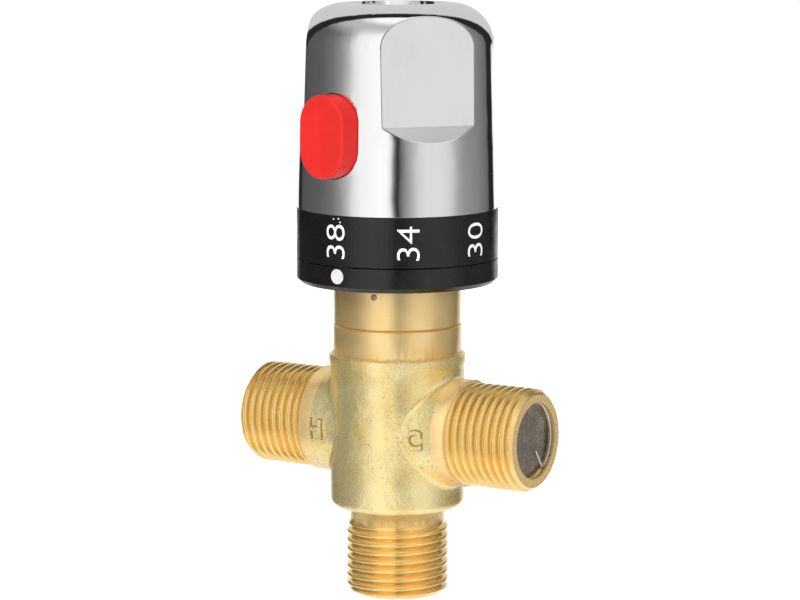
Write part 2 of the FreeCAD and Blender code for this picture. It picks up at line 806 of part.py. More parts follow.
def grip_cutter(distance, foot_z):
    """What is cut for one grip, facing +X: a flat that leans in, and a shelf that slopes outwards."""
    reach = knob_foot_r + 2 * overcut
    slope = grip_shelf_drop / grip_shelf_reach
    top = knob_crown + overcut
    lean = (top - foot_z) * math.tan(math.radians(grip_draft_deg))
    profile = [FreeCAD.Vector(distance, -reach, foot_z),
               FreeCAD.Vector(reach, -reach, foot_z - slope * (reach - distance)),
               FreeCAD.Vector(reach, -reach, top), FreeCAD.Vector(distance - lean, -reach, top)]
    face = Part.Face(Part.makePolygon(profile + profile[:1]))
    return face.extrude(FreeCAD.Vector(0, 2 * reach, 0))


def grip_degrees():
    """The directions of the grips: the button sits midway between two of them."""
    return [button_deg + 180.0 / grip_count + 360.0 / grip_count * i for i in range(grip_count)]


def knob_outside():
    low = dial_top
    diagonal = shoulder_r * (1 - arc_middle)
    return turned([(0, low), (knob_foot_r - knob_foot_edge, low), (knob_foot_r, low + knob_foot_edge),
                   (knob_waist_r, shoulder_z),
                   ("arc", (shoulder_axis_r + diagonal, shoulder_z + diagonal)),
                   (shoulder_axis_r, knob_crown), (0, knob_crown)])


def knob_core():
    """The hollow of the knob, before the grips, the button pad and the boss are left standing in it."""
    outer_well_r = well_r + well_wall
    top_r = shoulder_axis_r + crown_wall
    shoulder_low = shoulder_z - core_shoulder_drop
    return turned([(0, dial_top), (core_r_at(dial_top), dial_top), (core_r_at(shoulder_low), shoulder_low),
                   (top_r + core_roof_bevel, core_top - core_roof_drop), (top_r, core_top),
                   (outer_well_r, core_top), (outer_well_r, well_floor), (0, well_floor)])


def stadium(width, height, low, high):
    """An upright stadium prism along +X between two distances from the axis."""
    half = width / 2
    straight = height / 2 - half
    middle = button_z
    ends = [Part.makeCylinder(half, high - low, FreeCAD.Vector(low, 0, middle + s * straight), axis_x)
            for s in (1, -1)]
    bar = block((low, high), (-half, half), (middle - straight, middle + straight))
    return bar.fuse(ends).removeSplitter()


def knob():
    outside = knob_outside()
    grips = [turn(grip_cutter(grip_distance, grip_foot_z), a) for a in grip_degrees()]
    outside = outside.cut(grips)
    outside = outside.makeFillet(grip_edge_round, grip_edges(outside))
    inner_foot = grip_foot_z - grip_wall
    grip_backs = [turn(grip_cutter(grip_distance - grip_wall, inner_foot), a) for a in grip_degrees()]
    pad_half = button_height / 2 + button_flange + button_pad_margin
    pad = turn(block((button_pad, knob_foot_r), (-knob_foot_r, knob_foot_r),
                     (button_z - pad_half, button_z + pad_half)), button_deg)
    boss = rod(boss_r, spline_bottom, well_floor)
    nub_r = button_spring_r - small_spring_side / 2 - spring_nub_gap
    nub_start = FreeCAD.Vector(boss_r - overcut, 0, button_z)
    nub = turn(Part.makeCylinder(nub_r, overcut + spring_nub_length, nub_start, axis_x), button_deg)
    hollow = knob_core().cut(grip_backs + [pad, boss, nub, stop_peg()])
    well = rod(well_r, well_floor + well_floor_thickness, knob_crown)
    cap_seat = rod(cap_r + cap_gap, cap_seat_z, knob_crown + overcut)
    socket = splined_bar(spline_r + slip, spline_bottom - overcut, well_floor)
    screw_hole = rod(screw_r + screw_hole_gap, well_floor - overcut, well_floor + well_floor_thickness)
    button_hole = turn(stadium(button_width + 2 * button_gap, button_height + 2 * button_gap,
                               button_pad - overcut, knob_foot_r + overcut), button_deg)
    flange_room = button_flange + safe_gap
    button_room = turn(stadium(button_width + 2 * flange_room, button_height + 2 * flange_room,
                               stop_peg_inner_r, button_pad), button_deg)
    return outside.cut([hollow, well, cap_seat, socket, screw_hole, button_hole, button_room])


def stop_peg():
    """The inner rib of the knob that meets the ends of the stop ring's sector."""
    a, b = stop_peg_deg - stop_peg_half_deg, stop_peg_deg + stop_peg_half_deg
    clear_z = dial_top + dial_spigot_height + safe_gap
    low = sector(dial_throat_r() - safe_gap, stop_peg_inner_r, dial_top + 2 * safe_gap, clear_z, a, b)
    high = sector(knob_foot_r - knob_wall / 2, stop_peg_inner_r, clear_z, clear_z + stop_peg_height, a, b)
    return low.fuse(high)


def grip_edges(outside):
    """The edges round each grip's flat and shelf."""
    found = []
    for face in outside.Faces:
        if face.Surface.TypeId != "Part::GeomPlane":
            continue
        middle = face.CenterOfMass
        if math.hypot(middle.x, middle.y) > knob_waist_r / 2:
            found += [e for e in face.Edges if not any(e.isSame(f) for f in found)]
    return found


def knob_cap():
    edge_r = cap_r - cap_edge
    dome_r = (edge_r ** 2 + cap_dome ** 2) / (2 * cap_dome)
    middle_z = cap_top + cap_dome - dome_r + math.sqrt(dome_r ** 2 - edge_r ** 2 / 4)
    disc = turned([(0, cap_seat_z + slip), (cap_r, cap_seat_z + slip), (cap_r, cap_top - cap_edge),
                   (edge_r, cap_top), ("arc", (edge_r / 2, middle_z)), (0, cap_top + cap_dome)])
    skirt = tube(well_r - slip, well_r - cap_skirt_wall, cap_seat_z - cap_skirt_depth, cap_seat_z + slip)
    return disc.fuse(skirt)


def knob_screw():
    head_low = well_floor + well_floor_thickness
    head_top = head_low + screw_head_height
    screw = turned([(0, head_low - screw_depth), (screw_r, head_low - screw_depth), (screw_r, head_low),
                    (screw_head_r, head_low), (screw_head_r, head_top - screw_head_edge),
                    (screw_head_r - screw_head_edge, head_top), (0, head_top)])
    long, short = (-screw_slot_reach, screw_slot_reach), (-screw_slot_half, screw_slot_half)
    depths = (head_top - screw_slot_depth, head_top)
    return screw.cut([block(long, short, depths), block(short, long, depths)])


# --- Safety button -------------------------------------------------------------------------------
def safety_button():
    cap = stadium(button_width, button_height, button_back, button_face)
    rim = [e for e in cap.Edges if all(abs(v.X - button_face) < 1e-6 for v in e.Vertexes)]
    cap = cap.makeFillet(button_edge_round, rim)
    flange = stadium(button_width + 2 * button_flange, button_height + 2 * button_flange,
                     button_back, button_back + button_flange_thickness)
    half = lug_width / 2
    arm = block((lug_inner, button_back + lap), (-half, half), (lug_arm_bottom, lug_arm_top))
    lug = block((lug_inner, lug_outer), (-half, half), (lug_bottom, lug_arm_top))
    pocket = Part.makeCylinder(button_pocket_r, button_pocket_depth, FreeCAD.Vector(button_back, 0, button_z),
                               axis_x)
    return turn(cap.fuse([flange, arm, lug]).cut(pocket), button_deg)


def button_spring():
    """The spring between the knob's boss and the button's pocket."""
    spring = coil(button_spring_r, boss_r + lap, button_back + button_pocket_depth - face_gap,
                  button_spring_turns, small_spring_side)
    spring.rotate(origin, axis_y, 90)
    spring.translate(FreeCAD.Vector(0, 0, button_z))
    return turn(spring, button_deg)


# --- Check valves and strainers, made about Z with the arm's end upwards ------------------------
def check_housing():
    top = strainer_seat - slip
    seat_top = check_seat_x + check_seat_thickness
    shell = turned([(check_inner_r, check_inner), (check_r, check_inner), (check_r, top),
                    (check_seat_r + check_mouth_width, top), (check_seat_r, seat_top),
                    (check_seat_r, check_seat_x), (check_inner_r, check_seat_x)])
    groove = tube(check_r + overcut, check_r - check_groove_depth, check_groove_x,
                  check_groove_x + seal_groove_height)
    return shell.cut(groove)


def check_seal():
    return seal_ring(port_bore_r, check_r - check_groove_depth, check_groove_x)


def check_guide():
    """The spider that carries the poppet's stem and the spring."""
    low = check_inner + face_gap
    high = low + check_guide_thickness
    rim = tube(check_inner_r - slip, check_inner_r - check_guide_rim, low, high)
    hub = tube(poppet_stem_r + check_guide_hub, poppet_stem_r + running, low, high)
    arm = block((poppet_stem_r + check_guide_hub - lap, check_inner_r - check_guide_rim + lap),
                (-check_guide_arm_half, check_guide_arm_half), (low, high))
    return rim.fuse([hub] + [turn(arm, 120 * i) for i in range(3)])


def check_poppet():
    low = poppet_top - poppet_thickness
    stem_low = check_inner + face_gap
    return turned([(0, stem_low), (poppet_stem_r, stem_low), (poppet_stem_r, low), (poppet_r, low),
                   (poppet_r, poppet_top), (0, poppet_top)])


def poppet_seal():
    return rod(poppet_r, poppet_top, check_seat_x - face_gap)


def check_spring():
    low = check_inner + face_gap + check_guide_thickness
    return coil(check_spring_r, low, poppet_top - poppet_thickness, check_spring_turns, small_spring_side)


def strainer():
    """A woven disc in a pressed rim."""
    rim = tube(strainer_seat_r - slip, strainer_seat_r - strainer_rim_width, strainer_seat,
               strainer_seat + strainer_thickness)
    middle = strainer_seat + strainer_thickness / 2
    mesh = rod(strainer_seat_r - strainer_rim_width + lap, middle - mesh_thickness / 2,
               middle + mesh_thickness / 2)
    return rim.fuse(mesh)


def snap_ring():
    """An open ring of round wire with one end bent inwards as a tail."""
    ring = Part.makeTorus(snap_r, snap_wire_r, FreeCAD.Vector(0, 0, snap_x), axis_z, -180, 180, snap_sweep_deg)
    ring.rotate(origin, axis_z, snap_start_deg)
    start = FreeCAD.Vector(snap_r, 0, snap_x)
    tail = Part.makeCylinder(snap_wire_r, snap_tail_length, start, FreeCAD.Vector(-1, 0, 0))
    knee = Part.makeSphere(snap_wire_r, start)
    bent = tail.fuse(knee)
    bent.rotate(origin, axis_z, snap_start_deg)
    return ring.fuse(bent)


# --- All nodes -----------------------------------------------------------------------------------
nodes = {
    "valve_body": valve_body(),
    "cartridge_sleeve": cartridge_sleeve(),
    "sleeve_seals": sleeve_seals(),
    "cold_seat_ring": cold_seat_ring(),
    "mixing_spool": mixing_spool(),
    "spool_seal": spool_seal(),
    "wax_capsule": wax_capsule(),
    "push_pin": push_pin(),
    "return_spring": return_spring(),
    "bonnet": bonnet(),
    "bonnet_seal": bonnet_seal(),
    "headwork": headwork(),
    "locating_pin": locating_pin(),
    "index_ring": index_ring(),
    "index_clip": index_clip(),
    "overload_plunger": overload_plunger(),
    "overload_clip": overload_clip(),
    "overload_spring": overload_spring(),
    "setting_carrier": setting_carrier(),
    "spindle": spindle(),
    "spindle_seals": spindle_seals(),
    "spindle_clip": spindle_clip(),
    "stop_ring": stop_ring(),
    "dial_ring": dial_ring(),
    "knob": knob(),
    "knob_cap": knob_cap(),
    "knob_screw": knob_screw(),
    "safety_button": safety_button(),
    "button_spring": button_spring(),
}
for name, side in (("hot", -1), ("cold", 1)):
    nodes[name + "_check_housing"] = on_arm(check_housing(), side)
    nodes[name + "_check_seal"] = on_arm(check_seal(), side)
    nodes[name + "_check_guide"] = on_arm(check_guide(), side)
    nodes[name + "_check_poppet"] = on_arm(check_poppet(), side)
    nodes[name + "_poppet_seal"] = on_arm(poppet_seal(), side)
    nodes[name + "_check_spring"] = on_arm(check_spring(), side)
    nodes[name + "_strainer"] = on_arm(strainer(), side)
    nodes[name + "_snap_ring"] = on_arm(snap_ring(), side)

os.makedirs("parts", exist_ok=True)
for name, shape in nodes.items():
    shape.exportStep("parts/" + name + ".step")
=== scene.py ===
"""Looks of a thermostatic mixing valve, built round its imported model.

Lengths are in metres. +Z runs up the outlet and the knob, +X along the cold inlet, -X along the hot one.
"""

from __future__ import annotations

import json
import logging
import math
from dataclasses import dataclass
from enum import Enum

import bmesh
import bpy
from bpy.types import Material, Mesh, Node, NodeSocket, NodeTree, Object
from mathutils import Matrix, Vector
from mathutils.bvhtree import BVHTree


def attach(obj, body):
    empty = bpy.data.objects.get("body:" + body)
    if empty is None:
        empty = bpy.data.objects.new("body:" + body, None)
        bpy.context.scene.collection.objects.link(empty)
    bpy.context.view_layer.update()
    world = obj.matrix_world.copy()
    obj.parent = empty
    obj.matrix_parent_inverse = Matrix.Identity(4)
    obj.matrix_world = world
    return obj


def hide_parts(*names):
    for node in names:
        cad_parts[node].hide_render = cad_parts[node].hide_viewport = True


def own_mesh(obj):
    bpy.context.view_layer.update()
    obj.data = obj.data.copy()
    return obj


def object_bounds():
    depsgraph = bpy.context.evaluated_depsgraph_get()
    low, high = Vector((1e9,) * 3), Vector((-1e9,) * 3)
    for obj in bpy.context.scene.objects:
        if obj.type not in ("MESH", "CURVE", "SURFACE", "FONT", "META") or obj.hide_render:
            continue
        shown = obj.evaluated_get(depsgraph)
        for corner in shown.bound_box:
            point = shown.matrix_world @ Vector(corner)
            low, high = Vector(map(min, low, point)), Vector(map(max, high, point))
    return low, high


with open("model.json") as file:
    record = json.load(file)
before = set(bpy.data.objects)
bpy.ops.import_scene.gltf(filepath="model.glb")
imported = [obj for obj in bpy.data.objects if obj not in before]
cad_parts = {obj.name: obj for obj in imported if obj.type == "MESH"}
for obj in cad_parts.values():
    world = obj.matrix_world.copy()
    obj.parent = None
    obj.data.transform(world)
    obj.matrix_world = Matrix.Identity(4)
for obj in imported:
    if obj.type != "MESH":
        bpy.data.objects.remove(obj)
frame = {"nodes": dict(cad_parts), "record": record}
CAD_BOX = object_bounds()
LOG = logging.getLogger("mixing_valve")
MM = 0.001
FINE = 1e-6
ARM_Z = 34.4 * MM
Triple = tuple[float, float, float]


class Side(Enum):
    """The two inlets, by the direction that they point in along X."""

    HOT = -1
    COLD = 1

    @property
    def prefix(self) -> str:
        """The start of the names of this inlet's nodes."""
        return self.name.lower()


class Slot(Enum):
    """The record's material slots."""

    CAST = "cast_brass"
    TURNED = "turned_brass"
    CHROME = "chromed_knob"
    BLACK = "black_plastic"
    RED = "red_plastic"
    STEEL = "steel"
    WOVEN = "woven_steel"
    RUBBER = "seal_rubber"
    WHITE = "white_plastic"
    COPPER = "capsule_copper"


# --- Node graphs --------------------------------------------------------------------------------
class Graph:
    """A short way to write a node tree: most calls add one node and return its output."""

    def __init__(self, tree: NodeTree) -> None:
        """Starts with an empty tree."""
        self.tree = tree
        tree.nodes.clear()

    def node(self, kind: str, **settings: object) -> Node:
        """Adds a node.

        Args:
            kind: The node's type name.
            settings: Properties of the node.

        Returns:
            The new node.
        """
        made = self.tree.nodes.new(kind)
        for name, value in settings.items():
            setattr(made, name, value)
        return made

    def put(self, socket: NodeSocket, value: object) -> None:
        """Links an output to an input, or sets the input's own value.

        Args:
            socket: The input.
            value: An output, a plain value, or None for no change.
        """
        if isinstance(value, NodeSocket):
            self.tree.links.new(value, socket)
        elif value is not None:
            socket.default_value = value

    def step(self, kind: str, values: dict[str, object], **settings: object) -> NodeSocket:
        """Adds a node with its inputs filled by name.

        Args:
            kind: The node's type name.
            values: Inputs by name.
            settings: Properties of the node.

        Returns:
            The node's first output.
        """
        made = self.node(kind, **settings)
        for name, value in values.items():
            self.put(made.inputs[name], value)
        return made.outputs[0]

    def math(self, operation: str, *values: object) -> NodeSocket:
        """Adds a math node.

        Args:
            operation: The operation's name.
            values: Its operands.

        Returns:
            The result.
        """
        made = self.node("ShaderNodeMath", operation=operation)
        for socket, value in zip(made.inputs, values):
            self.put(socket, value)
        return made.outputs[0]

    def plus(self, a: object, b: object) -> NodeSocket:
        """The sum of two values."""
        return self.math("ADD", a, b)

    def minus(self, a: object, b: object) -> NodeSocket:
        """The difference of two values."""
        return self.math("SUBTRACT", a, b)

    def times(self, a: object, b: object) -> NodeSocket:
        """The product of two values."""
        return self.math("MULTIPLY", a, b)

    def ratio(self, a: object, b: object) -> NodeSocket:
        """One value divided by another."""
        return self.math("DIVIDE", a, b)

    def within(self, value: object, low: float, high: float) -> NodeSocket:
        """A value held between two limits."""
        return self.math("MAXIMUM", self.math("MINIMUM", value, high), low)

    def blend(self, share: object, first: object, second: object) -> NodeSocket:
        """Goes from the first value to the second as the share goes from 0 to 1."""
        return self.plus(self.times(first, self.minus(1.0, share)), self.times(second, share))

    def split(self, vector: object) -> tuple[NodeSocket, ...]:
        """The three parts of a vector."""
        made = self.node("ShaderNodeSeparateXYZ")
        self.put(made.inputs[0], vector)
        return tuple(made.outputs)

    def span(self, value: object, low: float, high: float, to_low: float = 0.0,
             to_high: float = 1.0) -> NodeSocket:
        """Maps a range to another, smoothly and clamped.

        Args:
            value: What is mapped.
            low: Start of its range.
            high: End of its range.
            to_low: Result at the start.
            to_high: Result at the end.

        Returns:
            The mapped value.
        """
        made = self.node("ShaderNodeMapRange", interpolation_type="SMOOTHSTEP")
        for socket, item in zip(made.inputs, (value, low, high, to_low, to_high)):
            self.put(socket, item)
        return made.outputs[0]


def blank(name: str) -> Material:
    """Makes a material with a node tree."""
    material = bpy.data.materials.new(name)
    material.use_nodes = True
    return material


class Paint(Graph):
    """A material's node tree on Object coordinates, ending in one Principled shader."""

    def __init__(self, name: str) -> None:
        """Starts a material.

        Args:
            name: The material's name.
        """
        self.material = blank(name)
        super().__init__(self.material.node_tree)
        self.place = self.node("ShaderNodeTexCoord").outputs["Object"]
        self.shader = self.node("ShaderNodeBsdfPrincipled")
        self.put(self.node("ShaderNodeOutputMaterial").inputs["Surface"], self.shader.outputs[0])

    def stretched(self, scale: Triple) -> NodeSocket:
        """Object coordinates scaled along each axis."""
        return self.step("ShaderNodeMapping", {"Vector": self.place, "Scale": scale})

    def noise(self, size: float, detail: float = 3.0, rough: float = 0.55,
              vector: object = None) -> NodeSocket:
        """Noise with features of about a size.

        Args:
            size: Size of a feature, in metres.
            detail: Octaves.
            rough: How strong the finer octaves are.
            vector: Coordinates, if not the plain ones.

        Returns:
            The noise, about 0.5 on average.
        """
        return self.step("ShaderNodeTexNoise", {
            "Vector": vector or self.place, "Scale": 1.0 / size, "Detail": detail, "Roughness": rough})

    def pits(self, size: float, spread: float) -> NodeSocket:
        """Scattered small pits: 1 in a pit, 0 elsewhere.

        Args:
            size: Distance between pits, in metres.
            spread: Radius of a pit as a share of that distance.

        Returns:
            The mask.
        """
        apart = self.step("ShaderNodeTexVoronoi", {"Vector": self.place, "Scale": 1.0 / size})
        return self.span(apart, spread, 0.0)

    def mix(self, share: object, first: object, second: object) -> NodeSocket:
        """Mixes two colours.

        Args:
            share: How much of the second.
            first: A colour, as an output or as red, green and blue.
            second: Another.

        Returns:
            The mixed colour.
        """
        made = self.node("ShaderNodeMix", data_type="RGBA")
        for index, item in ((0, share), (6, first), (7, second)):
            self.put(made.inputs[index], (*item, 1.0) if isinstance(item, tuple) else item)
        return made.outputs[2]

    def bump(self, height: object, depth: float) -> None:
        """Adds a bump on top of those that the shader already has.

        Args:
            height: The height pattern, 0 to 1.
            depth: Its depth in metres.
        """
        normal = self.shader.inputs["Normal"]
        below = normal.links[0].from_socket if normal.is_linked else None
        self.put(normal, self.step("ShaderNodeBump", {
            "Strength": 1.0, "Distance": depth, "Height": height, "Normal": below}))

    def set(self, **values: object) -> None:
        """Sets the shader's inputs, by name with spaces written as underscores."""
        for name, value in values.items():
            self.put(self.shader.inputs[name.replace("_", " ")], value)


class Growth(Graph):
    """A geometry node tree with named inputs, which ends in Realize Instances and Set Material."""

    def __init__(self, name: str, sizes: dict[str, float | int]) -> None:
        """Starts the tree and its inputs.

        Args:
            name: The tree's name.
            sizes: Each input's name and value: whole numbers become integer inputs.
        """
        group = bpy.data.node_groups.new(name, "GeometryNodeTree")
        group.is_modifier = True
        self.identifiers = {}
        self.sizes = sizes
        group.interface.new_socket("Geometry", in_out="OUTPUT", socket_type="NodeSocketGeometry")
        group.interface.new_socket("Geometry", in_out="INPUT", socket_type="NodeSocketGeometry")
        kinds = {label: "Int" if isinstance(value, int) else "Float" for label, value in sizes.items()}
        for label, kind in {**kinds, "Finish": "Material"}.items():
            made = group.interface.new_socket(label, in_out="INPUT", socket_type="NodeSocket" + kind)
            self.identifiers[label] = made.identifier
        super().__init__(group)
        self.given = self.node("NodeGroupInput").outputs
        self.ending = self.node("NodeGroupOutput")

    def position(self) -> tuple[NodeSocket, ...]:
        """Each point's X, Y and Z."""
        return self.split(self.node("GeometryNodeInputPosition").outputs[0])

    def vector(self, x: object, y: object, z: object) -> NodeSocket:
        """Joins three numbers into a vector."""
        return self.step("ShaderNodeCombineXYZ", {"X": x, "Y": y, "Z": z})

    def circle(self, points: int, radius: object) -> NodeSocket:
        """A circle about Z."""
        return self.step("GeometryNodeCurvePrimitiveCircle", {"Resolution": points, "Radius": radius})

    def choose(self, test: object, no: object, yes: object) -> NodeSocket:
        """Takes one of two numbers by a test of 0 or 1."""
        return self.plus(no, self.times(test, self.minus(yes, no)))

    def grown(self, shape: NodeSocket, material: Material, source: Mesh | None = None) -> Mesh:
        """Ends the tree, evaluates it once and gives its result as a plain mesh.

        Args:
            shape: The last geometry.
            material: The finish that it sets.
            source: A mesh for the tree's geometry input, if it reads one.

        Returns:
            The mesh, with its faces turned outwards.
        """
        shape = self.step("GeometryNodeRealizeInstances", {"Geometry": shape})
        shape = self.step("GeometryNodeSetMaterial", {"Geometry": shape, "Material": self.given["Finish"]})
        self.put(self.ending.inputs[0], shape)
        holder = bpy.data.objects.new(self.tree.name, source or bpy.data.meshes.new(self.tree.name))
        bpy.context.collection.objects.link(holder)
        modifier = holder.modifiers.new("growth", "NODES")
        modifier.node_group = self.tree
        for label, value in {**self.sizes, "Finish": material}.items():
            modifier[self.identifiers[label]] = value
        mesh = evaluated(holder)
        holder.modifiers.clear()
        bpy.data.objects.remove(holder)
        turn_outwards(mesh)
        return mesh


# --- Meshes -------------------------------------------------------------------------------------
def evaluated(piece: Object) -> Mesh:
    """A new mesh of a piece with its modifiers applied."""
    return bpy.data.meshes.new_from_object(piece.evaluated_get(bpy.context.evaluated_depsgraph_get()))


def merged(mesh: Mesh, within: float = FINE) -> bmesh.types.BMesh:
    """Opens a mesh for work, with its doubles merged.

    Args:
        mesh: The mesh.
        within: Distance within which points are one.

    Returns:
        The work mesh.
    """
    work = bmesh.new()
    work.from_mesh(mesh)
    bmesh.ops.remove_doubles(work, verts=work.verts, dist=within)
    return work


def written(work: bmesh.types.BMesh, mesh: Mesh) -> Mesh:
    """Writes a work mesh into a mesh and frees it.

    Args:
        work: The work mesh.
        mesh: The mesh that takes its shape.

    Returns:
        That mesh.
    """
    work.to_mesh(mesh)
    work.free()
    return mesh


def turn_outwards(mesh: Mesh) -> None:
    """Merges a mesh's doubles and turns its faces outwards.

    Args:
        mesh: The mesh.
    """
    work = merged(mesh)
    bmesh.ops.recalc_face_normals(work, faces=work.faces)
    written(work, mesh)


def smooth(mesh: Mesh, sharp_deg: float = 28.0) -> None:
    """Shades a mesh smooth, with sharp edges above an angle."""
    mesh.shade_smooth()
    mesh.set_sharp_from_angle(angle=math.radians(sharp_deg))


def facing(way: int, x: float) -> Matrix:
    """Where a piece made about Z goes on the inlets' axis.

    Args:
        way: 1 to face along +X, -1 to face along -X.
        x: Where its origin goes.

    Returns:
        The placing matrix.
    """
    return Matrix(((0, 0, way, x), (way, 0, 0, 0), (0, 1, 0, ARM_Z), (0, 0, 0, 1)))


# --- Finishes -----------------------------------------------------------------------------------
@dataclass(frozen=True)
class CastBrass:
    """Sand-cast brass, blasted and dull, pitted in places, and turned bright on its bands and neck."""

    name: str = "cast brass"
    pale: Triple = (1.0, 0.85, 0.44)
    deep: Triple = (0.96, 0.75, 0.31)
    stain: Triple = (0.46, 0.29, 0.08)
    bright: Triple = (0.97, 0.70, 0.31)
    band_x: float = 14.32 * MM
    neck_z: float = 17.88 * MM
    patch: float = 9 * MM
    cloud: float = 8 * MM
    sand: float = 0.40 * MM
    sand_depth: float = 0.16 * MM
    coarse: float = 2.6
    coarse_depth: float = 0.13 * MM
    pit_step: float = 1.15 * MM
    pit_patch: float = 3.0 * MM
    pit_depth: float = 0.12 * MM
    hollow_stain: float = 0.20
    pit_stain: float = 0.85
    roughness: float = 0.28
    metal: float = 0.80
    turned_metal: float = 0.60

    def make(self) -> Material:
        """Builds the material."""
        paint = Paint(self.name)
        x, _, z = paint.split(paint.place)
        band = paint.math("GREATER_THAN", paint.math("ABSOLUTE", x), self.band_x)
        turned = paint.math("MAXIMUM", band, paint.math("LESS_THAN", z, self.neck_z))
        cast = paint.minus(1.0, turned)
        level = paint.times(paint.span(paint.noise(self.patch, 2.0), 0.44, 0.64, 0.25, 1.0), cast)
        sand = paint.noise(self.sand, 2.5, 0.62)
        coarse = paint.noise(self.sand * self.coarse, 2.0, 0.5)
        pit = paint.times(paint.pits(self.pit_step, 0.26), paint.span(paint.noise(self.pit_patch), 0.53, 0.64))
        pit = paint.times(pit, cast)
        hollow = paint.times(paint.span(sand, 0.50, 0.30), level)
        color = paint.mix(paint.span(paint.noise(self.cloud), 0.35, 0.68), self.pale, self.deep)
        color = paint.mix(paint.times(hollow, self.hollow_stain), color, self.stain)
        color = paint.mix(paint.times(pit, self.pit_stain), color, self.stain)
        color = paint.mix(turned, color, self.bright)
        blasted = paint.span(sand, 0.3, 0.7, self.roughness - 0.05, self.roughness + 0.1)
        tooled = paint.span(coarse, 0.3, 0.7, 0.26, 0.34)
        paint.set(Base_Color=color, Metallic=paint.span(turned, 0.0, 1.0, self.metal, self.turned_metal),
                  Roughness=paint.blend(turned, blasted, tooled))
        paint.bump(paint.times(sand, level), self.sand_depth)
        paint.bump(paint.times(coarse, level), self.coarse_depth)
        paint.bump(paint.minus(1.0, pit), self.pit_depth)
        return paint.material


@dataclass(frozen=True)
class TurnedBrass:
    """Turned brass: fine tool marks round an axis, thin scratches and small nicks."""

    name: str = "turned brass"
    bright: Triple = (0.99, 0.74, 0.36)
    dark: Triple = (0.95, 0.67, 0.29)
    nicked: Triple = (0.38, 0.25, 0.10)
    along: int = 2
    mark: float = 0.14 * MM
    mark_depth: float = 0.0007 * MM
    nick_step: float = 1.9 * MM
    nick_depth: float = 0.04 * MM
    roughness: float = 0.31
    metal: float = 0.80

    def make(self) -> Material:
        """Builds the material."""
        paint = Paint(self.name)
        scale = [0.03, 0.03, 0.03]
        scale[self.along] = 1.0
        marks = paint.noise(self.mark, 2.0, 0.6, paint.stretched(tuple(scale)))
        nick = paint.times(paint.pits(self.nick_step, 0.14), paint.span(paint.noise(4 * MM), 0.54, 0.6))
        color = paint.mix(paint.span(paint.noise(5 * MM), 0.3, 0.7), self.bright, self.dark)
        paint.set(Base_Color=paint.mix(paint.times(nick, 0.7), color, self.nicked), Metallic=self.metal,
                  Roughness=paint.span(marks, 0.3, 0.7, self.roughness - 0.03, self.roughness + 0.04))
        paint.bump(marks, self.mark_depth)
        paint.bump(paint.minus(1.0, nick), self.nick_depth)
        return paint.material


@dataclass(frozen=True)
class Chrome:
    """Bright chrome plate on a polished moulding, with a faint waviness and smears."""

    name: str = "chrome plate"
    color: Triple = (0.90, 0.90, 0.90)
    smeared: Triple = (0.84, 0.835, 0.83)
    roughness: float = 0.025
    wave: float = 14 * MM
    wave_depth: float = 0.02 * MM

    def make(self) -> Material:
        """Builds the material."""
        paint = Paint(self.name)
        smear = paint.noise(6 * MM, 3.0, 0.5, paint.stretched((1.0, 1.0, 0.35)))
        paint.set(Base_Color=paint.mix(paint.span(smear, 0.45, 0.8), self.color, self.smeared), Metallic=1.0,
                  Roughness=paint.span(smear, 0.35, 0.75, self.roughness, self.roughness + 0.035))
        paint.bump(paint.noise(self.wave, 1.0), self.wave_depth)
        return paint.material


@dataclass(frozen=True)
class Surface:
    """A plain surface of two colours in clouds, with a fine pattern in its roughness and height."""

    name: str
    color: Triple
    other: Triple
    roughness: float
    less: float = 0.05
    more: float = 0.07
    metal: float = 0.0
    cloud: float = 7 * MM
    cloud_low: float = 0.3
    cloud_high: float = 0.7
    grain: float = 0.25 * MM
    detail: float = 2.0
    depth: float = 0.006 * MM

    def make(self) -> Material:
        """Builds the material."""
        paint = Paint(self.name)
        cloud = paint.span(paint.noise(self.cloud), self.cloud_low, self.cloud_high)
        grain = paint.noise(self.grain, self.detail)
        paint.set(Base_Color=paint.mix(cloud, self.color, self.other), Metallic=self.metal,
                  Roughness=paint.span(grain, 0.3, 0.7, self.roughness - self.less, self.roughness + self.more))
        paint.bump(grain, self.depth)
        return paint.material


@dataclass(frozen=True)
class TurnedPlastic:
    """Black plastic with fine rings round the axis, as on a machined or finely ribbed moulding."""

    name: str = "black ring plastic"
    color: Triple = (0.004, 0.004, 0.004)
    worn: Triple = (0.010, 0.009, 0.008)
    roughness: float = 0.24
    ring: float = 0.22 * MM
    ring_depth: float = 0.004 * MM
    grain: float = 0.4 * MM
    grain_depth: float = 0.003 * MM

    def make(self) -> Material:
        """Builds the material."""
        paint = Paint(self.name)
        rings = paint.noise(self.ring, 2.0, 0.6, paint.stretched((0.02, 0.02, 1.0)))
        cloud = paint.noise(4 * MM, 4.0, 0.65)
        paint.set(Base_Color=paint.mix(paint.span(cloud, 0.5, 0.8), self.color, self.worn),
                  Roughness=paint.span(cloud, 0.3, 0.7, self.roughness - 0.04, self.roughness + 0.10))
        paint.bump(rings, self.ring_depth)
        paint.bump(paint.noise(self.grain), self.grain_depth)
        return paint.material


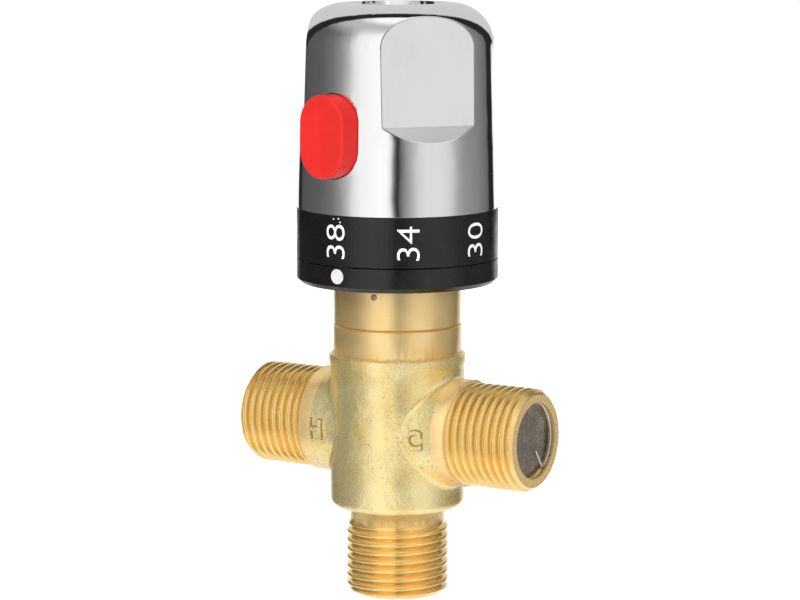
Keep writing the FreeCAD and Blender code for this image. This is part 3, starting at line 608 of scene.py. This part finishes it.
class Finishes:
    """Every material of the valve, made once."""

    def __init__(self) -> None:
        """Makes the materials."""
        # The corner colours are dirt and painted shade, for the thin dark foot round each raised letter.
        corner = {"pale": (0.46, 0.31, 0.10), "deep": (0.40, 0.26, 0.08)}
        gold = {"bright": (1.0, 0.75, 0.32), "dark": (0.98, 0.68, 0.25), "roughness": 0.19}
        drawn = {"less": 0.06, "more": 0.1, "metal": 1.0, "cloud": 3 * MM, "grain": 0.5 * MM, "detail": 3.0}
        inked = {"roughness": 0.45, "more": 0.10, "cloud": 0.6 * MM, "cloud_low": 0.55, "cloud_high": 0.75,
                  "grain": 0.6 * MM, "detail": 3.0, "depth": 0.003 * MM}
        self.cast = CastBrass().make()
        self.cast_corner = CastBrass("cast brass in the corners", **corner).make()
        self.turned = TurnedBrass().make()
        self.thread_up = TurnedBrass("threaded brass upright", **gold).make()
        self.thread_along = TurnedBrass("threaded brass level", along=0, **gold).make()
        self.chrome = Chrome().make()
        self.black = TurnedPlastic().make()
        self.red = Surface("red plastic", (0.70, 0.012, 0.006), (0.64, 0.010, 0.005), 0.38).make()
        self.steel = Surface("drawn steel", (0.80, 0.79, 0.77), (0.66, 0.65, 0.63), 0.22, **drawn).make()
        self.woven = Surface("woven wire", (0.62, 0.54, 0.46), (0.46, 0.39, 0.33), 0.30, **drawn).make()
        self.rubber = Surface("black rubber", (0.02, 0.02, 0.02), (0.035, 0.034, 0.033), 0.6).make()
        self.white = Surface("white acetal", (0.80, 0.80, 0.77), (0.74, 0.74, 0.70), 0.4).make()
        self.copper = Surface("drawn copper", (0.80, 0.45, 0.28), (0.62, 0.32, 0.18), 0.28, **drawn).make()
        self.pin = Surface("dull pin steel", (0.50, 0.42, 0.27), (0.36, 0.29, 0.17), 0.35, **drawn).make()
        self.ink = Surface("white ink", (0.86, 0.86, 0.85), (0.62, 0.62, 0.62), **inked).make()
        self.grey_ink = Surface("pale grey ink", (0.66, 0.66, 0.70), (0.50, 0.50, 0.53), **inked).make()

    def by_slot(self, slot: Slot) -> Material:
        """The finish of a record's slot on a CAD node that stays in view."""
        return getattr(self, slot.name.lower())


# --- Pieces -------------------------------------------------------------------------------------
def body_of(node: str) -> str:
    """The body that carries a node."""
    return next(name for name, nodes in frame["record"]["behaviour"]["bodies"].items() if node in nodes)


def slot_of(node: str) -> Slot:
    """The record's material slot of a node."""
    return next(Slot(part["material_slot"]) for part in frame["record"]["subparts"] if part["node"] == node)


def settle(piece: Object, body: str, slot: Slot, *nodes: str) -> Object:
    """Puts a finished piece on its body and hides the nodes that it stands for.

    Args:
        piece: The finished piece.
        body: The body that it rides on.
        slot: The record's slot that its finish comes from; not used.
        nodes: The nodes that it replaces.

    Returns:
        The piece.
    """
    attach(piece, body)
    if nodes:
        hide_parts(*nodes)
    LOG.info("%s on %s: %d faces, for %s", piece.name, body, len(piece.data.polygons), nodes or "itself")
    return piece


def object_from(name: str, mesh: Mesh, material: Material) -> Object:
    """Puts a mesh into the scene with one material.

    Args:
        name: The piece's name.
        mesh: Its mesh.
        material: Its finish.

    Returns:
        The object.
    """
    mesh.materials.clear()
    mesh.materials.append(material)
    piece = bpy.data.objects.new(name, mesh)
    bpy.context.collection.objects.link(piece)
    return piece


def copy_of(node: str, name: str, material: Material) -> Object:
    """A merged, smoothly shaded copy of a CAD node.

    Args:
        node: The node.
        name: The copy's name.
        material: Its finish.

    Returns:
        The copy, not yet on a body.
    """
    mesh = frame["nodes"][node].data.copy()
    written(merged(mesh, 2 * FINE), mesh)
    if mesh.has_custom_normals:
        mesh.normals_split_custom_set([(0.0, 0.0, 0.0)] * len(mesh.loops))
    smooth(mesh)
    piece = object_from(name, mesh, material)
    weigh = piece.modifiers.new("even", "WEIGHTED_NORMAL")
    weigh.mode = "FACE_AREA"
    weigh.keep_sharp = True
    made = evaluated(piece)
    piece.modifiers.clear()
    piece.data = made
    return piece


# --- Studio -------------------------------------------------------------------------------------
# The tent's wall: degrees round from the front, anticlockwise from above, and how bright it is there.
TENT_WALL = (
    (-157, 1.0), (-153, 0.02), (-143, 0.02), (-137, 0.08), (-98, 0.11), (-79, 0.17), (-68, 0.27), (-59, 0.45),
    (-50, 0.76), (-42, 0.90), (-20, 1.0), (-12, 0.99), (-8, 0.80), (-4, 0.20), (-1, 0.04), (1, 0.04), (4, 0.15),
    (14, 0.40), (23, 0.65), (33, 0.72), (50, 0.73), (62, 0.63), (73, 0.38), (80, 0.30), (107, 0.21), (125, 0.13),
    (129, 0.02), (142, 0.02), (146, 1.0))


def seen_directly(paint: Graph) -> NodeSocket:
    """1 for camera, glossy and transmission rays, 0 for the others.

    Args:
        paint: The tree that asks.

    Returns:
        The test.
    """
    path = paint.node("ShaderNodeLightPath").outputs
    seen = paint.math("MAXIMUM", path["Is Camera Ray"], path["Is Glossy Ray"])
    return paint.math("MAXIMUM", seen, path["Is Transmission Ray"])


@dataclass(frozen=True)
class Tent:
    """The tent that only metal and gloss mirror: lit walls, a camera gap, a framed white back."""

    front_deg: float
    radius: float = 0.5
    middle_z: float = 0.06
    strength: float = 1.08
    ceiling: float = 0.50
    crown: float = 0.48
    carpet: float = 0.90
    screen: float = 0.60
    screen_frame: float = 0.02
    screen_lean: float = 0.71

    def wall(self, paint: Graph, turn: NodeSocket) -> NodeSocket:
        """How bright the wall is in each direction.

        Args:
            paint: The tent's tree.
            turn: Degrees round from the front.

        Returns:
            The wall's level.
        """
        ramp = paint.node("ShaderNodeValToRGB")
        stops = ramp.color_ramp.elements
        stops[0].position, stops[1].position = 0.0, 1.0
        stops[0].color = stops[1].color = (1.0, 1.0, 1.0, 1.0)
        for degrees, level in TENT_WALL:
            stops.new((degrees + 180) / 360).color = (level, level, level, 1.0)
        paint.put(ramp.inputs[0], paint.ratio(paint.plus(turn, 180.0), 360.0))
        return paint.step("ShaderNodeRGBToBW", {"Color": ramp.outputs[0]})

    def level(self, paint: Graph) -> NodeSocket:
        """How bright the tent is at each place.

        Args:
            paint: The tent's tree.

        Returns:
            The level.
        """
        x, y, z = paint.split(paint.node("ShaderNodeTexCoord").outputs["Object"])
        turn = paint.times(paint.math("ARCTAN2", y, x), 180 / math.pi)
        turn = paint.math("WRAP", paint.minus(turn, self.front_deg), 180.0, -180.0)
        rise = paint.within(paint.ratio(paint.minus(z, self.middle_z), self.radius), -1.0, 1.0)
        height = paint.times(paint.math("ARCSINE", rise), 180 / math.pi)
        ceiling = paint.plus(self.ceiling, paint.times(paint.span(height, 62.0, 78.0), self.crown))
        level = paint.blend(paint.span(height, 32.0, 60.0), self.wall(paint, turn), ceiling)
        back = math.radians(self.front_deg + 180.0)
        behind = paint.plus(paint.times(x, math.cos(back)), paint.times(y, math.sin(back)))
        over = paint.plus(paint.ratio(behind, self.radius), paint.times(rise, self.screen_lean))
        share = paint.times(paint.span(over, 0.69, 0.77), paint.span(height, 2.0, 6.0))
        level = paint.blend(share, level, paint.span(over, 0.93, 0.98, self.screen_frame, self.screen))
        return paint.blend(paint.span(height, -24.0, -48.0), level, self.carpet)

    def build(self) -> None:
        """Adds the tent."""
        work = bmesh.new()
        bmesh.ops.create_uvsphere(work, u_segments=96, v_segments=48, radius=self.radius)
        bmesh.ops.translate(work, verts=work.verts, vec=(0.0, 0.0, self.middle_z))
        mesh = written(work, bpy.data.meshes.new("tent"))
        material = blank("tent cloth")
        paint = Graph(material.node_tree)
        glow = paint.step("ShaderNodeEmission", {"Strength": paint.times(self.level(paint), self.strength)})
        paint.put(paint.node("ShaderNodeOutputMaterial").inputs["Surface"], glow)
        tent = object_from("tent", mesh, material)
        for ray in ("camera", "diffuse", "shadow", "transmission"):
            setattr(tent, "visible_" + ray, False)


@dataclass(frozen=True)
class Studio:
    """Camera, pale floor, soft lamps, and the tent that the metal mirrors."""

    target: Vector
    distance: float = 0.605886
    azimuth_deg: float = -32.077
    elevation_deg: float = 8.28
    lens: float = 133.5
    shift_x: float = 0.00325
    floor_half: float = 3.0
    floor_white: float = 0.62
    sky: float = 0.55
    lamp_size: float = 0.6

    def camera(self) -> None:
        """Adds the camera."""
        azimuth, elevation = math.radians(self.azimuth_deg), math.radians(self.elevation_deg)
        forward = Vector((math.sin(azimuth) * math.cos(elevation), math.cos(azimuth) * math.cos(elevation),
                          -math.sin(elevation)))
        data = bpy.data.cameras.new("camera")
        data.lens = self.lens
        data.sensor_width = 36.0
        data.shift_x = self.shift_x
        data.clip_start, data.clip_end = 0.01, 50.0
        camera = bpy.data.objects.new("camera", data)
        camera.location = self.target - forward * self.distance
        camera.rotation_euler = forward.to_track_quat("-Z", "Y").to_euler()
        bpy.context.collection.objects.link(camera)
        bpy.context.scene.camera = camera

    def lamp(self, name: str, place: Triple, power: float) -> None:
        """Adds a soft square lamp that faces the valve and shows in no reflection.

        Args:
            name: Its name.
            place: Where it stands.
            power: Its power in watts.
        """
        data = bpy.data.lights.new(name, "AREA")
        data.shape = "SQUARE"
        data.size = self.lamp_size
        data.energy = power
        lamp = bpy.data.objects.new(name, data)
        lamp.location = place
        lamp.rotation_euler = (self.target - Vector(place)).to_track_quat("-Z", "Y").to_euler()
        lamp.visible_glossy = False
        bpy.context.collection.objects.link(lamp)

    def floor(self) -> None:
        """Adds the pale floor, which keeps the valve's shadow and is white where it is seen."""
        half = self.floor_half
        mesh = bpy.data.meshes.new("floor")
        corners = [(-half, -half, 0), (half, -half, 0), (half, half, 0), (-half, half, 0)]
        mesh.from_pydata(corners, [], [(0, 1, 2, 3)])
        material = blank("pale floor")
        paint = Graph(material.node_tree)
        both = paint.node("ShaderNodeAddShader")
        paint.put(both.inputs[0], paint.step("ShaderNodeBsdfDiffuse", {"Color": (0.8, 0.8, 0.8, 1.0)}))
        paint.put(both.inputs[1], paint.step("ShaderNodeEmission", {
            "Strength": paint.times(seen_directly(paint), self.floor_white)}))
        paint.put(paint.node("ShaderNodeOutputMaterial").inputs["Surface"], both.outputs[0])
        floor = object_from("floor", mesh, material)
        floor.location.z = CAD_BOX[0].z
        floor.visible_glossy = False

    def world(self) -> None:
        """Sets a world that is white where it is seen and a plain grey light elsewhere."""
        world = bpy.data.worlds.new("studio")
        bpy.context.scene.world = world
        world.use_nodes = True
        paint = Graph(world.node_tree)
        light = paint.step("ShaderNodeBackground", {
            "Color": (1.0, 1.0, 1.0, 1.0), "Strength": paint.math("MAXIMUM", seen_directly(paint), self.sky)})
        paint.put(paint.node("ShaderNodeOutputWorld").inputs["Surface"], light)

    def build(self) -> None:
        """Sets up everything round the valve."""
        self.camera()
        self.floor()
        self.world()
        azimuth = math.radians(self.azimuth_deg)
        Tent(math.degrees(math.atan2(-math.cos(azimuth), -math.sin(azimuth)))).build()
        self.lamp("key lamp", (-0.25, -0.75, 0.65), 7.0)
        self.lamp("fill lamp", (0.85, -0.25, 0.45), 4.6)
        self.lamp("back lamp", (0.0, 0.8, 0.7), 3.2)
        bpy.context.scene.view_settings.view_transform = "Standard"


# --- Sub-assemblies ------------------------------------------------------------------------------
@dataclass
class PlainPieces:
    """The nodes that keep their solids: finely shaded copies in view, plain nodes inside."""

    finishes: Finishes

    def dress(self, node: str) -> None:
        """Gives a CAD node that stays its finish."""
        for slot in frame["nodes"][node].material_slots:
            slot.material = self.finishes.by_slot(slot_of(node))

    def shade(self, node: str, material: Material | None = None) -> Object:
        """Replaces a node by a smoothly shaded copy.

        Args:
            node: The node.
            material: Its finish, if not that of its slot.

        Returns:
            The copy.
        """
        slot = slot_of(node)
        piece = copy_of(node, node + "_shown", material or self.finishes.by_slot(slot))
        return settle(piece, body_of(node), slot, node)


@dataclass
class ThreadedSpigot:
    """One pipe thread as a closed sleeve round a spigot, from its end face to its run-out."""

    name: str
    place: Matrix
    length: float
    run_out_r: float
    run_out: float
    phase: float
    face_r: float = 9.4 * MM
    face_round: float = 0.12 * MM
    crest_r: float = 10.4775 * MM
    root_r: float = 9.316 * MM
    core_r: float = 9.25 * MM
    pitch: float = 1.814 * MM
    root_round: float = 0.015
    around: int = 176
    rows_per_pitch: int = 18

    def build(self, material: Material) -> Object:
        """Grows the sleeve and puts it on its spigot.

        The grid's X goes once round. Its first and last rows lie on the core and close the sleeve.

        Args:
            material: Its finish.

        Returns:
            The sleeve.
        """
        tree = Growth(self.name + " tree", {
            "Length": self.length, "Face Radius": self.face_r, "Run-out Radius": self.run_out_r,
            "Run-out": self.run_out, "Phase": self.phase, "Crest Radius": self.crest_r,
            "Root Radius": self.root_r, "Core Radius": self.core_r, "Pitch": self.pitch,
            "Around": self.around, "Rows": int(self.length / self.pitch * self.rows_per_pitch)})
        given = tree.given
        length, rows = given["Length"], given["Rows"]
        grid = tree.step("GeometryNodeMeshGrid", {
            "Size X": 1.0, "Size Y": 1.0, "Vertices X": tree.plus(given["Around"], 1.0),
            "Vertices Y": tree.plus(rows, 3.0)})
        x, y, _ = tree.position()
        turn = tree.plus(x, 0.5)
        row = tree.times(tree.plus(y, 0.5), tree.plus(rows, 2.0))
        share = tree.within(tree.ratio(tree.minus(row, 1.0), tree.minus(rows, 1.0)), 0.0, 1.0)
        closing = tree.math("GREATER_THAN", row, tree.plus(rows, 1.5))
        inner = tree.math("MAXIMUM", tree.math("LESS_THAN", row, 0.5),
                          tree.math("GREATER_THAN", row, tree.plus(rows, 0.5)))
        along = tree.choose(closing, tree.times(share, length), 0.0)
        wave = tree.minus(tree.ratio(tree.minus(along, given["Phase"]), given["Pitch"]), turn)
        wave = tree.math("COSINE", tree.times(wave, math.pi))
        wave = tree.math("SQRT", tree.plus(tree.times(wave, wave), self.root_round))
        lowest, highest = math.sqrt(self.root_round), math.sqrt(1.0 + self.root_round)
        wave = tree.ratio(tree.minus(wave, lowest), highest - lowest)
        radius = tree.plus(given["Root Radius"],
                           tree.times(wave, tree.minus(given["Crest Radius"], given["Root Radius"])))
        left = tree.ratio(tree.minus(length, along), given["Run-out"])
        radius = tree.choose(tree.math("SMOOTH_MIN", left, 1.0, 0.1), given["Run-out Radius"], radius)
        radius = tree.math("SMOOTH_MIN", radius, tree.plus(given["Face Radius"], along), self.face_round)
        radius = tree.math("MAXIMUM", radius, given["Core Radius"])
        radius = tree.math("MINIMUM", radius, given["Crest Radius"])
        radius = tree.choose(inner, radius, given["Core Radius"])
        angle = tree.times(turn, 2 * math.pi)
        spot = tree.vector(tree.times(radius, tree.math("COSINE", angle)),
                           tree.times(radius, tree.math("SINE", angle)), along)
        mesh = tree.grown(tree.step("GeometryNodeSetPosition", {"Geometry": grid, "Position": spot}), material)
        mesh.transform(self.place)
        smooth(mesh, 50.0)
        return object_from(self.name, mesh, material)


@dataclass
class Casting:
    """The cast body with its threads and its raised marks."""

    finishes: Finishes
    reach: float = 32.65 * MM
    band_end: float = 17.3 * MM
    outlet_thread: float = 14.9 * MM
    core_r: float = 9.25 * MM
    face_r: float = 9.3 * MM
    thread_r: float = 9.65 * MM
    slack: float = 0.05 * MM
    mark_size: float = 5.3 * MM
    mark_depth: float = 0.25 * MM
    mark_round: float = 0.08 * MM
    mark_drop: float = 0.35 * MM
    mark_rise: float = 0.60 * MM
    mark_bold: float = 0.10 * MM
    foot_rise: float = 0.06 * MM
    foot_bold: float = 0.30 * MM

    def spigots(self) -> list[ThreadedSpigot]:
        """The three threads."""
        found = [ThreadedSpigot("outlet_thread_sleeve", Matrix.Identity(4), self.outlet_thread, 9.6 * MM,
                                1.2 * MM, 0.65 * MM)]
        for side in Side:
            found.append(ThreadedSpigot(
                side.prefix + "_thread_sleeve", facing(-side.value, side.value * self.reach),
                self.reach - self.band_end + 0.1 * MM, 10.3 * MM, 0.6 * MM, 0.4 * MM))
        return found

    def draw_in(self, mesh: Mesh) -> None:
        """Draws the plain spigots in to the core, which leaves room for the thread sleeves.

        Args:
            mesh: The casting's mesh.
        """
        for vertex in mesh.vertices:
            co = vertex.co
            out = math.hypot(co.x, co.y)
            on_spigot = out > self.thread_r or (co.z < 0.01 * MM and out > self.face_r)
            if co.z < self.outlet_thread + self.slack and on_spigot:
                co.x, co.y = co.x * self.core_r / out, co.y * self.core_r / out
            out = math.hypot(co.y, co.z - ARM_Z)
            if abs(co.x) > self.band_end + self.slack and out > self.face_r:
                co.y = co.y * self.core_r / out
                co.z = ARM_Z + (co.z - ARM_Z) * self.core_r / out

    def build(self) -> None:
        """Builds the casting, its threads and its marks, each with painted shade and dirt round its foot."""
        finishes = self.finishes
        piece = copy_of("valve_body", "casting", finishes.cast)
        self.draw_in(piece.data)
        smooth(piece.data)
        settle(piece, "valve", Slot.CAST, "valve_body")
        for spigot in self.spigots():
            upright = spigot.name.startswith("outlet")
            settle(spigot.build(finishes.thread_up if upright else finishes.thread_along), "valve", Slot.TURNED)
        for side, letter, x in ((Side.HOT, "H", -13.1 * MM), (Side.COLD, "C", 10.8 * MM)):
            # The foot's dark brass paints shade and dirt into the corner round each letter.
            for kind, rise, bold, material in (
                    ("_mark_foot", self.foot_rise, self.foot_bold, finishes.cast_corner),
                    ("_cast_mark", self.mark_rise, self.mark_bold, finishes.cast)):
                mark = self.mark(side.prefix + kind, letter, x, rise, bold, material)
                settle(mark, "valve", Slot.CAST)

    def mark(self, name: str, letter: str, x: float, rise: float, bold: float,
             material: Material) -> Object:
        """A raised letter on the front of an inlet's boss, or the dark foot round it: painted shade and dirt in
        its corner.

        Args:
            name: The piece's name.
            letter: H or C.
            x: Where the letter's middle is.
            rise: How far it stands out.
            bold: How much wider its strokes are on either side.
            material: Its finish.

        Returns:
            The letter.
        """
        mesh = letters(letter, self.mark_size, self.mark_depth, self.mark_round, bold)
        body = frame["nodes"]["valve_body"].data
        tree = BVHTree.FromPolygons([v.co for v in body.vertices], [p.vertices for p in body.polygons])
        for vertex in mesh.vertices:
            flat = vertex.co.copy()
            over_x, over_z = x + flat.x, ARM_Z - self.mark_drop + flat.y
            hit = tree.ray_cast(Vector((over_x, -0.03, over_z)), Vector((0, 1, 0)))[0]
            height = rise if flat.z > 0 else -rise
            vertex.co = Vector((over_x, hit.y - height, over_z))
        turn_outwards(mesh)
        smooth(mesh, 60.0)
        return object_from(name, mesh, material)


def letters(text: str, size: float, depth: float, round_r: float, bold: float) -> Mesh:
    """Plain letters as a finely divided mesh, centred, facing +Z.

    Args:
        text: The text.
        size: The font's size.
        depth: Half of their thickness.
        round_r: Radius of their edges.
        bold: How much wider each stroke gets on either side.

    Returns:
        The mesh.
    """
    longest = 0.45 * MM
    curve = bpy.data.curves.new(text, "FONT")
    curve.body = text
    curve.size = size
    curve.extrude = depth
    curve.bevel_depth = round_r
    curve.bevel_resolution = 1 if round_r else 0
    curve.offset = bold - round_r / 2
    curve.resolution_u = 6
    holder = bpy.data.objects.new(text, curve)
    bpy.context.collection.objects.link(holder)
    mesh = evaluated(holder)
    bpy.data.objects.remove(holder)
    work = merged(mesh)
    bmesh.ops.triangulate(work, faces=work.faces)
    for _ in range(4):
        longer = [edge for edge in work.edges if edge.calc_length() > longest]
        if not longer:
            break
        bmesh.ops.subdivide_edges(work, edges=longer, cuts=1)
        bmesh.ops.triangulate(work, faces=[face for face in work.faces if len(face.verts) > 3])
    xs, ys = [v.co.x for v in work.verts], [v.co.y for v in work.verts]
    middle = Vector(((min(xs) + max(xs)) / 2, (min(ys) + max(ys)) / 2, 0))
    bmesh.ops.translate(work, verts=work.verts, vec=-middle)
    return written(work, mesh)


@dataclass
class InletFilter:
    """The woven strainer and the bent wire ring that hold in the end of one inlet."""

    side: Side
    finishes: Finishes
    weave_x: float = 30.72 * MM
    weave_r: float = 7.2 * MM
    weave_pitch: float = 0.52 * MM
    wire_r: float = 0.125 * MM
    least_chord: float = 0.02
    rim_r: float = 7.36 * MM
    rim_width: float = 0.76 * MM
    rim_x: float = 30.825 * MM
    rim_height: float = 0.63 * MM
    ring_x: float = 31.65 * MM
    ring_r: float = 7.72 * MM
    ring_wire_r: float = 0.3 * MM
    ring_start_deg: float = -55.0
    ring_sweep_deg: float = 300.0
    ring_steps: int = 72
    bend_r: float = 0.55 * MM
    tail: float = 4.9 * MM

    def strainer(self) -> Object:
        """The woven disc in its rim."""
        wires = 2 * int(self.weave_r / self.weave_pitch)
        tree = Growth(self.side.prefix + " weave tree", {
            "Radius": self.weave_r, "Pitch": self.weave_pitch, "Wire Radius": self.wire_r, "Wires": wires,
            "Points": wires * 3, "Rim Radius": self.rim_r, "Rim Width": self.rim_width,
            "Rim Height": self.rim_height, "Rim Rise": self.rim_x - self.weave_x})
        given = tree.given
        grid = tree.step("GeometryNodeMeshGrid", {
            "Size X": tree.times(given["Radius"], 2.0),
            "Size Y": tree.times(given["Pitch"], tree.minus(given["Wires"], 1.0)),
            "Vertices X": given["Points"], "Vertices Y": given["Wires"]})
        ends = tree.node("GeometryNodeInputMeshEdgeVertices").outputs
        heights = [tree.split(ends[label])[1] for label in ("Position 1", "Position 2")]
        crossing = tree.math("GREATER_THAN", tree.math("ABSOLUTE", tree.minus(*heights)), 0.05 * MM)
        lines = tree.step("GeometryNodeDeleteGeometry", {"Geometry": grid, "Selection": crossing},
                          domain="EDGE", mode="EDGE_FACE")
        x, y, _ = tree.position()
        lie = tree.ratio(y, given["Radius"])
        x = tree.times(x, tree.math("SQRT", tree.math(
            "MAXIMUM", tree.minus(1.0, tree.times(lie, lie)), self.least_chord ** 2)))
        wave = tree.times(tree.ratio(tree.plus(x, y), given["Pitch"]), math.pi)
        lift = tree.times(tree.math("COSINE", wave), tree.times(given["Wire Radius"], 0.95))
        lines = tree.step("GeometryNodeSetPosition", {"Geometry": lines, "Position": tree.vector(x, y, lift)})
        weft = tree.step("GeometryNodeCurveToMesh", {
            "Curve": tree.step("GeometryNodeMeshToCurve", {"Mesh": lines}),
            "Profile Curve": tree.circle(5, given["Wire Radius"]), "Fill Caps": True})
        warp = tree.step("GeometryNodeTransform", {
            "Geometry": weft, "Rotation": (math.pi, 0.0, math.pi / 2)})
        section = tree.step("GeometryNodeCurvePrimitiveQuadrilateral", {
            "Width": given["Rim Width"], "Height": given["Rim Height"]})
        rim = tree.step("GeometryNodeCurveToMesh", {
            "Curve": tree.circle(96, given["Rim Radius"]), "Profile Curve": section})
        rim = tree.step("GeometryNodeTransform", {
            "Geometry": rim, "Translation": tree.vector(0.0, 0.0, given["Rim Rise"])})
        joined = tree.node("GeometryNodeJoinGeometry")
        for part in (weft, warp, rim):
            tree.put(joined.inputs[0], part)
        mesh = tree.grown(joined.outputs[0], self.finishes.woven)
        mesh.transform(facing(self.side.value, self.side.value * self.weave_x))
        smooth(mesh, 45.0)
        return object_from(self.side.prefix + "_woven_strainer", mesh, self.finishes.woven)

    def ring(self) -> Object:
        """The open wire ring with its tail, swept along its bent path."""
        start, sweep = math.radians(self.ring_start_deg), math.radians(self.ring_sweep_deg)
        stops = [(self.ring_r - self.tail, start)]
        stops += [(self.ring_r, start + sweep * i / self.ring_steps) for i in range(self.ring_steps + 1)]
        path = [Vector((radius * math.cos(angle), radius * math.sin(angle), 0)) for radius, angle in stops]
        line = bpy.data.meshes.new(self.side.prefix + " ring path")
        line.from_pydata(path, [(i, i + 1) for i in range(len(path) - 1)], [])
        tree = Growth(self.side.prefix + " ring tree", {
            "Wire Radius": self.ring_wire_r, "Bend Radius": self.bend_r})
        given = tree.given
        curve = tree.step("GeometryNodeFilletCurve", {
            "Curve": tree.step("GeometryNodeMeshToCurve", {"Mesh": given["Geometry"]}), "Count": 6,
            "Radius": given["Bend Radius"], "Limit Radius": True}, mode="POLY")
        swept = tree.step("GeometryNodeCurveToMesh", {
            "Curve": curve, "Profile Curve": tree.circle(16, given["Wire Radius"]), "Fill Caps": True})
        mesh = tree.grown(swept, self.finishes.steel, line)
        mesh.transform(facing(self.side.value, self.side.value * self.ring_x))
        smooth(mesh, 50.0)
        return object_from(self.side.prefix + "_wire_ring", mesh, self.finishes.steel)

    def build(self) -> None:
        """Builds both pieces."""
        name = self.side.prefix
        settle(self.strainer(), "valve", Slot.WOVEN, name + "_strainer")
        settle(self.ring(), "valve", Slot.STEEL, name + "_snap_ring")


@dataclass
class DialPrint:
    """The white index dot and the temperatures round the black rings."""

    finishes: Finishes
    ring_r: float = 20.5 * MM
    film: float = 0.03 * MM
    dot_z: float = 67.4 * MM
    dot_deg: float = -93.7
    dot_r: float = 1.5 * MM
    speck_r: float = 0.16 * MM
    text_z: float = 74.43 * MM
    text_width: float = 6.75 * MM
    text_height: float = 4.5 * MM
    text_bold: float = -0.06 * MM

    def number(self, value: int, degrees: float) -> Object:
        """One printed temperature.

        Args:
            value: The temperature.
            degrees: Its direction.

        Returns:
            The number.
        """
        mesh = letters(str(value), 6.0 * MM, 0.05 * MM, 0.0, self.text_bold)
        wide = max(v.co.x for v in mesh.vertices) * 2
        tall = max(v.co.y for v in mesh.vertices) * 2
        mesh.transform(Matrix.Diagonal((self.text_width / wide, self.text_height / tall, 1, 1)))
        return self.printed(f"dial_number_{value}", mesh, degrees, self.text_z, self.finishes.ink)

    def spot(self, name: str, radius: float, degrees: float, z: float, ink: Material) -> Object:
        """A round printed spot.

        Args:
            name: Its name.
            radius: Its radius.
            degrees: Its direction.
            z: Its height.
            ink: Its finish.

        Returns:
            The spot.
        """
        work = bmesh.new()
        bmesh.ops.create_cone(work, cap_ends=True, cap_tris=False, segments=40, radius1=radius, radius2=radius,
                              depth=0.1 * MM)
        bmesh.ops.inset_region(work, faces=[f for f in work.faces if len(f.verts) > 4], thickness=radius * 0.4)
        return self.printed(name, written(work, bpy.data.meshes.new(name)), degrees, z, ink)

    def printed(self, name: str, mesh: Mesh, degrees: float, z: float, ink: Material) -> Object:
        """Lays a flat mesh round the rings, its +X up and its +Y to the left of who looks at it.

        Args:
            name: The piece's name.
            mesh: The flat mesh.
            degrees: Direction of its middle.
            z: Height of its middle.
            ink: Its finish.

        Returns:
            The piece.
        """
        for vertex in mesh.vertices:
            flat = vertex.co.copy()
            angle = math.radians(degrees) - flat.y / self.ring_r
            out = self.ring_r + (self.film if flat.z > 0 else -self.film)
            vertex.co = Vector((out * math.cos(angle), out * math.sin(angle), z + flat.x))
        turn_outwards(mesh)
        smooth(mesh, 40.0)
        return object_from(name, mesh, ink)

    def build(self) -> None:
        """Builds the dot, the numbers and three specks of spilt ink above one of them."""
        dot = self.spot("index_dot", self.dot_r, self.dot_deg, self.dot_z, self.finishes.grey_ink)
        settle(dot, "valve", Slot.BLACK)
        places = {38: -94.8, 34: -51.8, 30: -8.5, 42: -147.0, 46: -192.0, 50: -237.0}
        for value, degrees in places.items():
            settle(self.number(value, degrees), "knob", Slot.BLACK)
        for index, (degrees, z) in enumerate(((-92.6, 79.0), (-95.9, 78.85), (-91.5, 78.3))):
            speck = self.spot(f"ink_speck_{index}", self.speck_r, degrees, z * MM, self.finishes.ink)
            settle(speck, "knob", Slot.BLACK)


@dataclass
class Springs:
    """The coil springs that the joints press, as smoothly shaded copies with meshes of their own."""

    finishes: Finishes

    def shorten(self, node: str) -> None:
        """Replaces one spring by a smoothly shaded copy with a mesh of its own.

        Args:
            node: The spring's node.
        """
        piece = copy_of(node, node + "_coil", self.finishes.steel)
        settle(piece, body_of(node), Slot.STEEL, node)
        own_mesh(piece)

    def build(self) -> list[str]:
        """Builds a copy of every spring that a joint of the record deforms.

        Returns:
            The springs' nodes.
        """
        found = []
        for joint in frame["record"]["behaviour"]["joints"]:
            for item in joint.get("deforming_nodes", []):
                self.shorten(item["node"])
                found.append(item["node"])
        return found


def main() -> None:
    """Builds the studio and every sub-assembly."""
    logging.basicConfig(level=logging.INFO, format="%(message)s")
    low, high = CAD_BOX
    Studio(target=Vector((0.0, 0.0, (low.z + high.z) / 2 - 0.09 * MM))).build()
    finishes = Finishes()
    Casting(finishes).build()
    for side in Side:
        InletFilter(side, finishes).build()
    DialPrint(finishes).build()
    plain = PlainPieces(finishes)
    shown = ("bonnet", "headwork", "locating_pin", "index_ring", "dial_ring", "knob", "safety_button", "knob_cap")
    made = ["valve_body", *(f"{s.prefix}_{n}" for s in Side for n in ("strainer", "snap_ring"))]
    made += Springs(finishes).build()
    for node in frame["nodes"]:
        if node in shown:
            plain.shade(node, finishes.pin if node == "locating_pin" else None)
        elif node not in made:
            plain.dress(node)


if __name__ == "__main__":
    main()
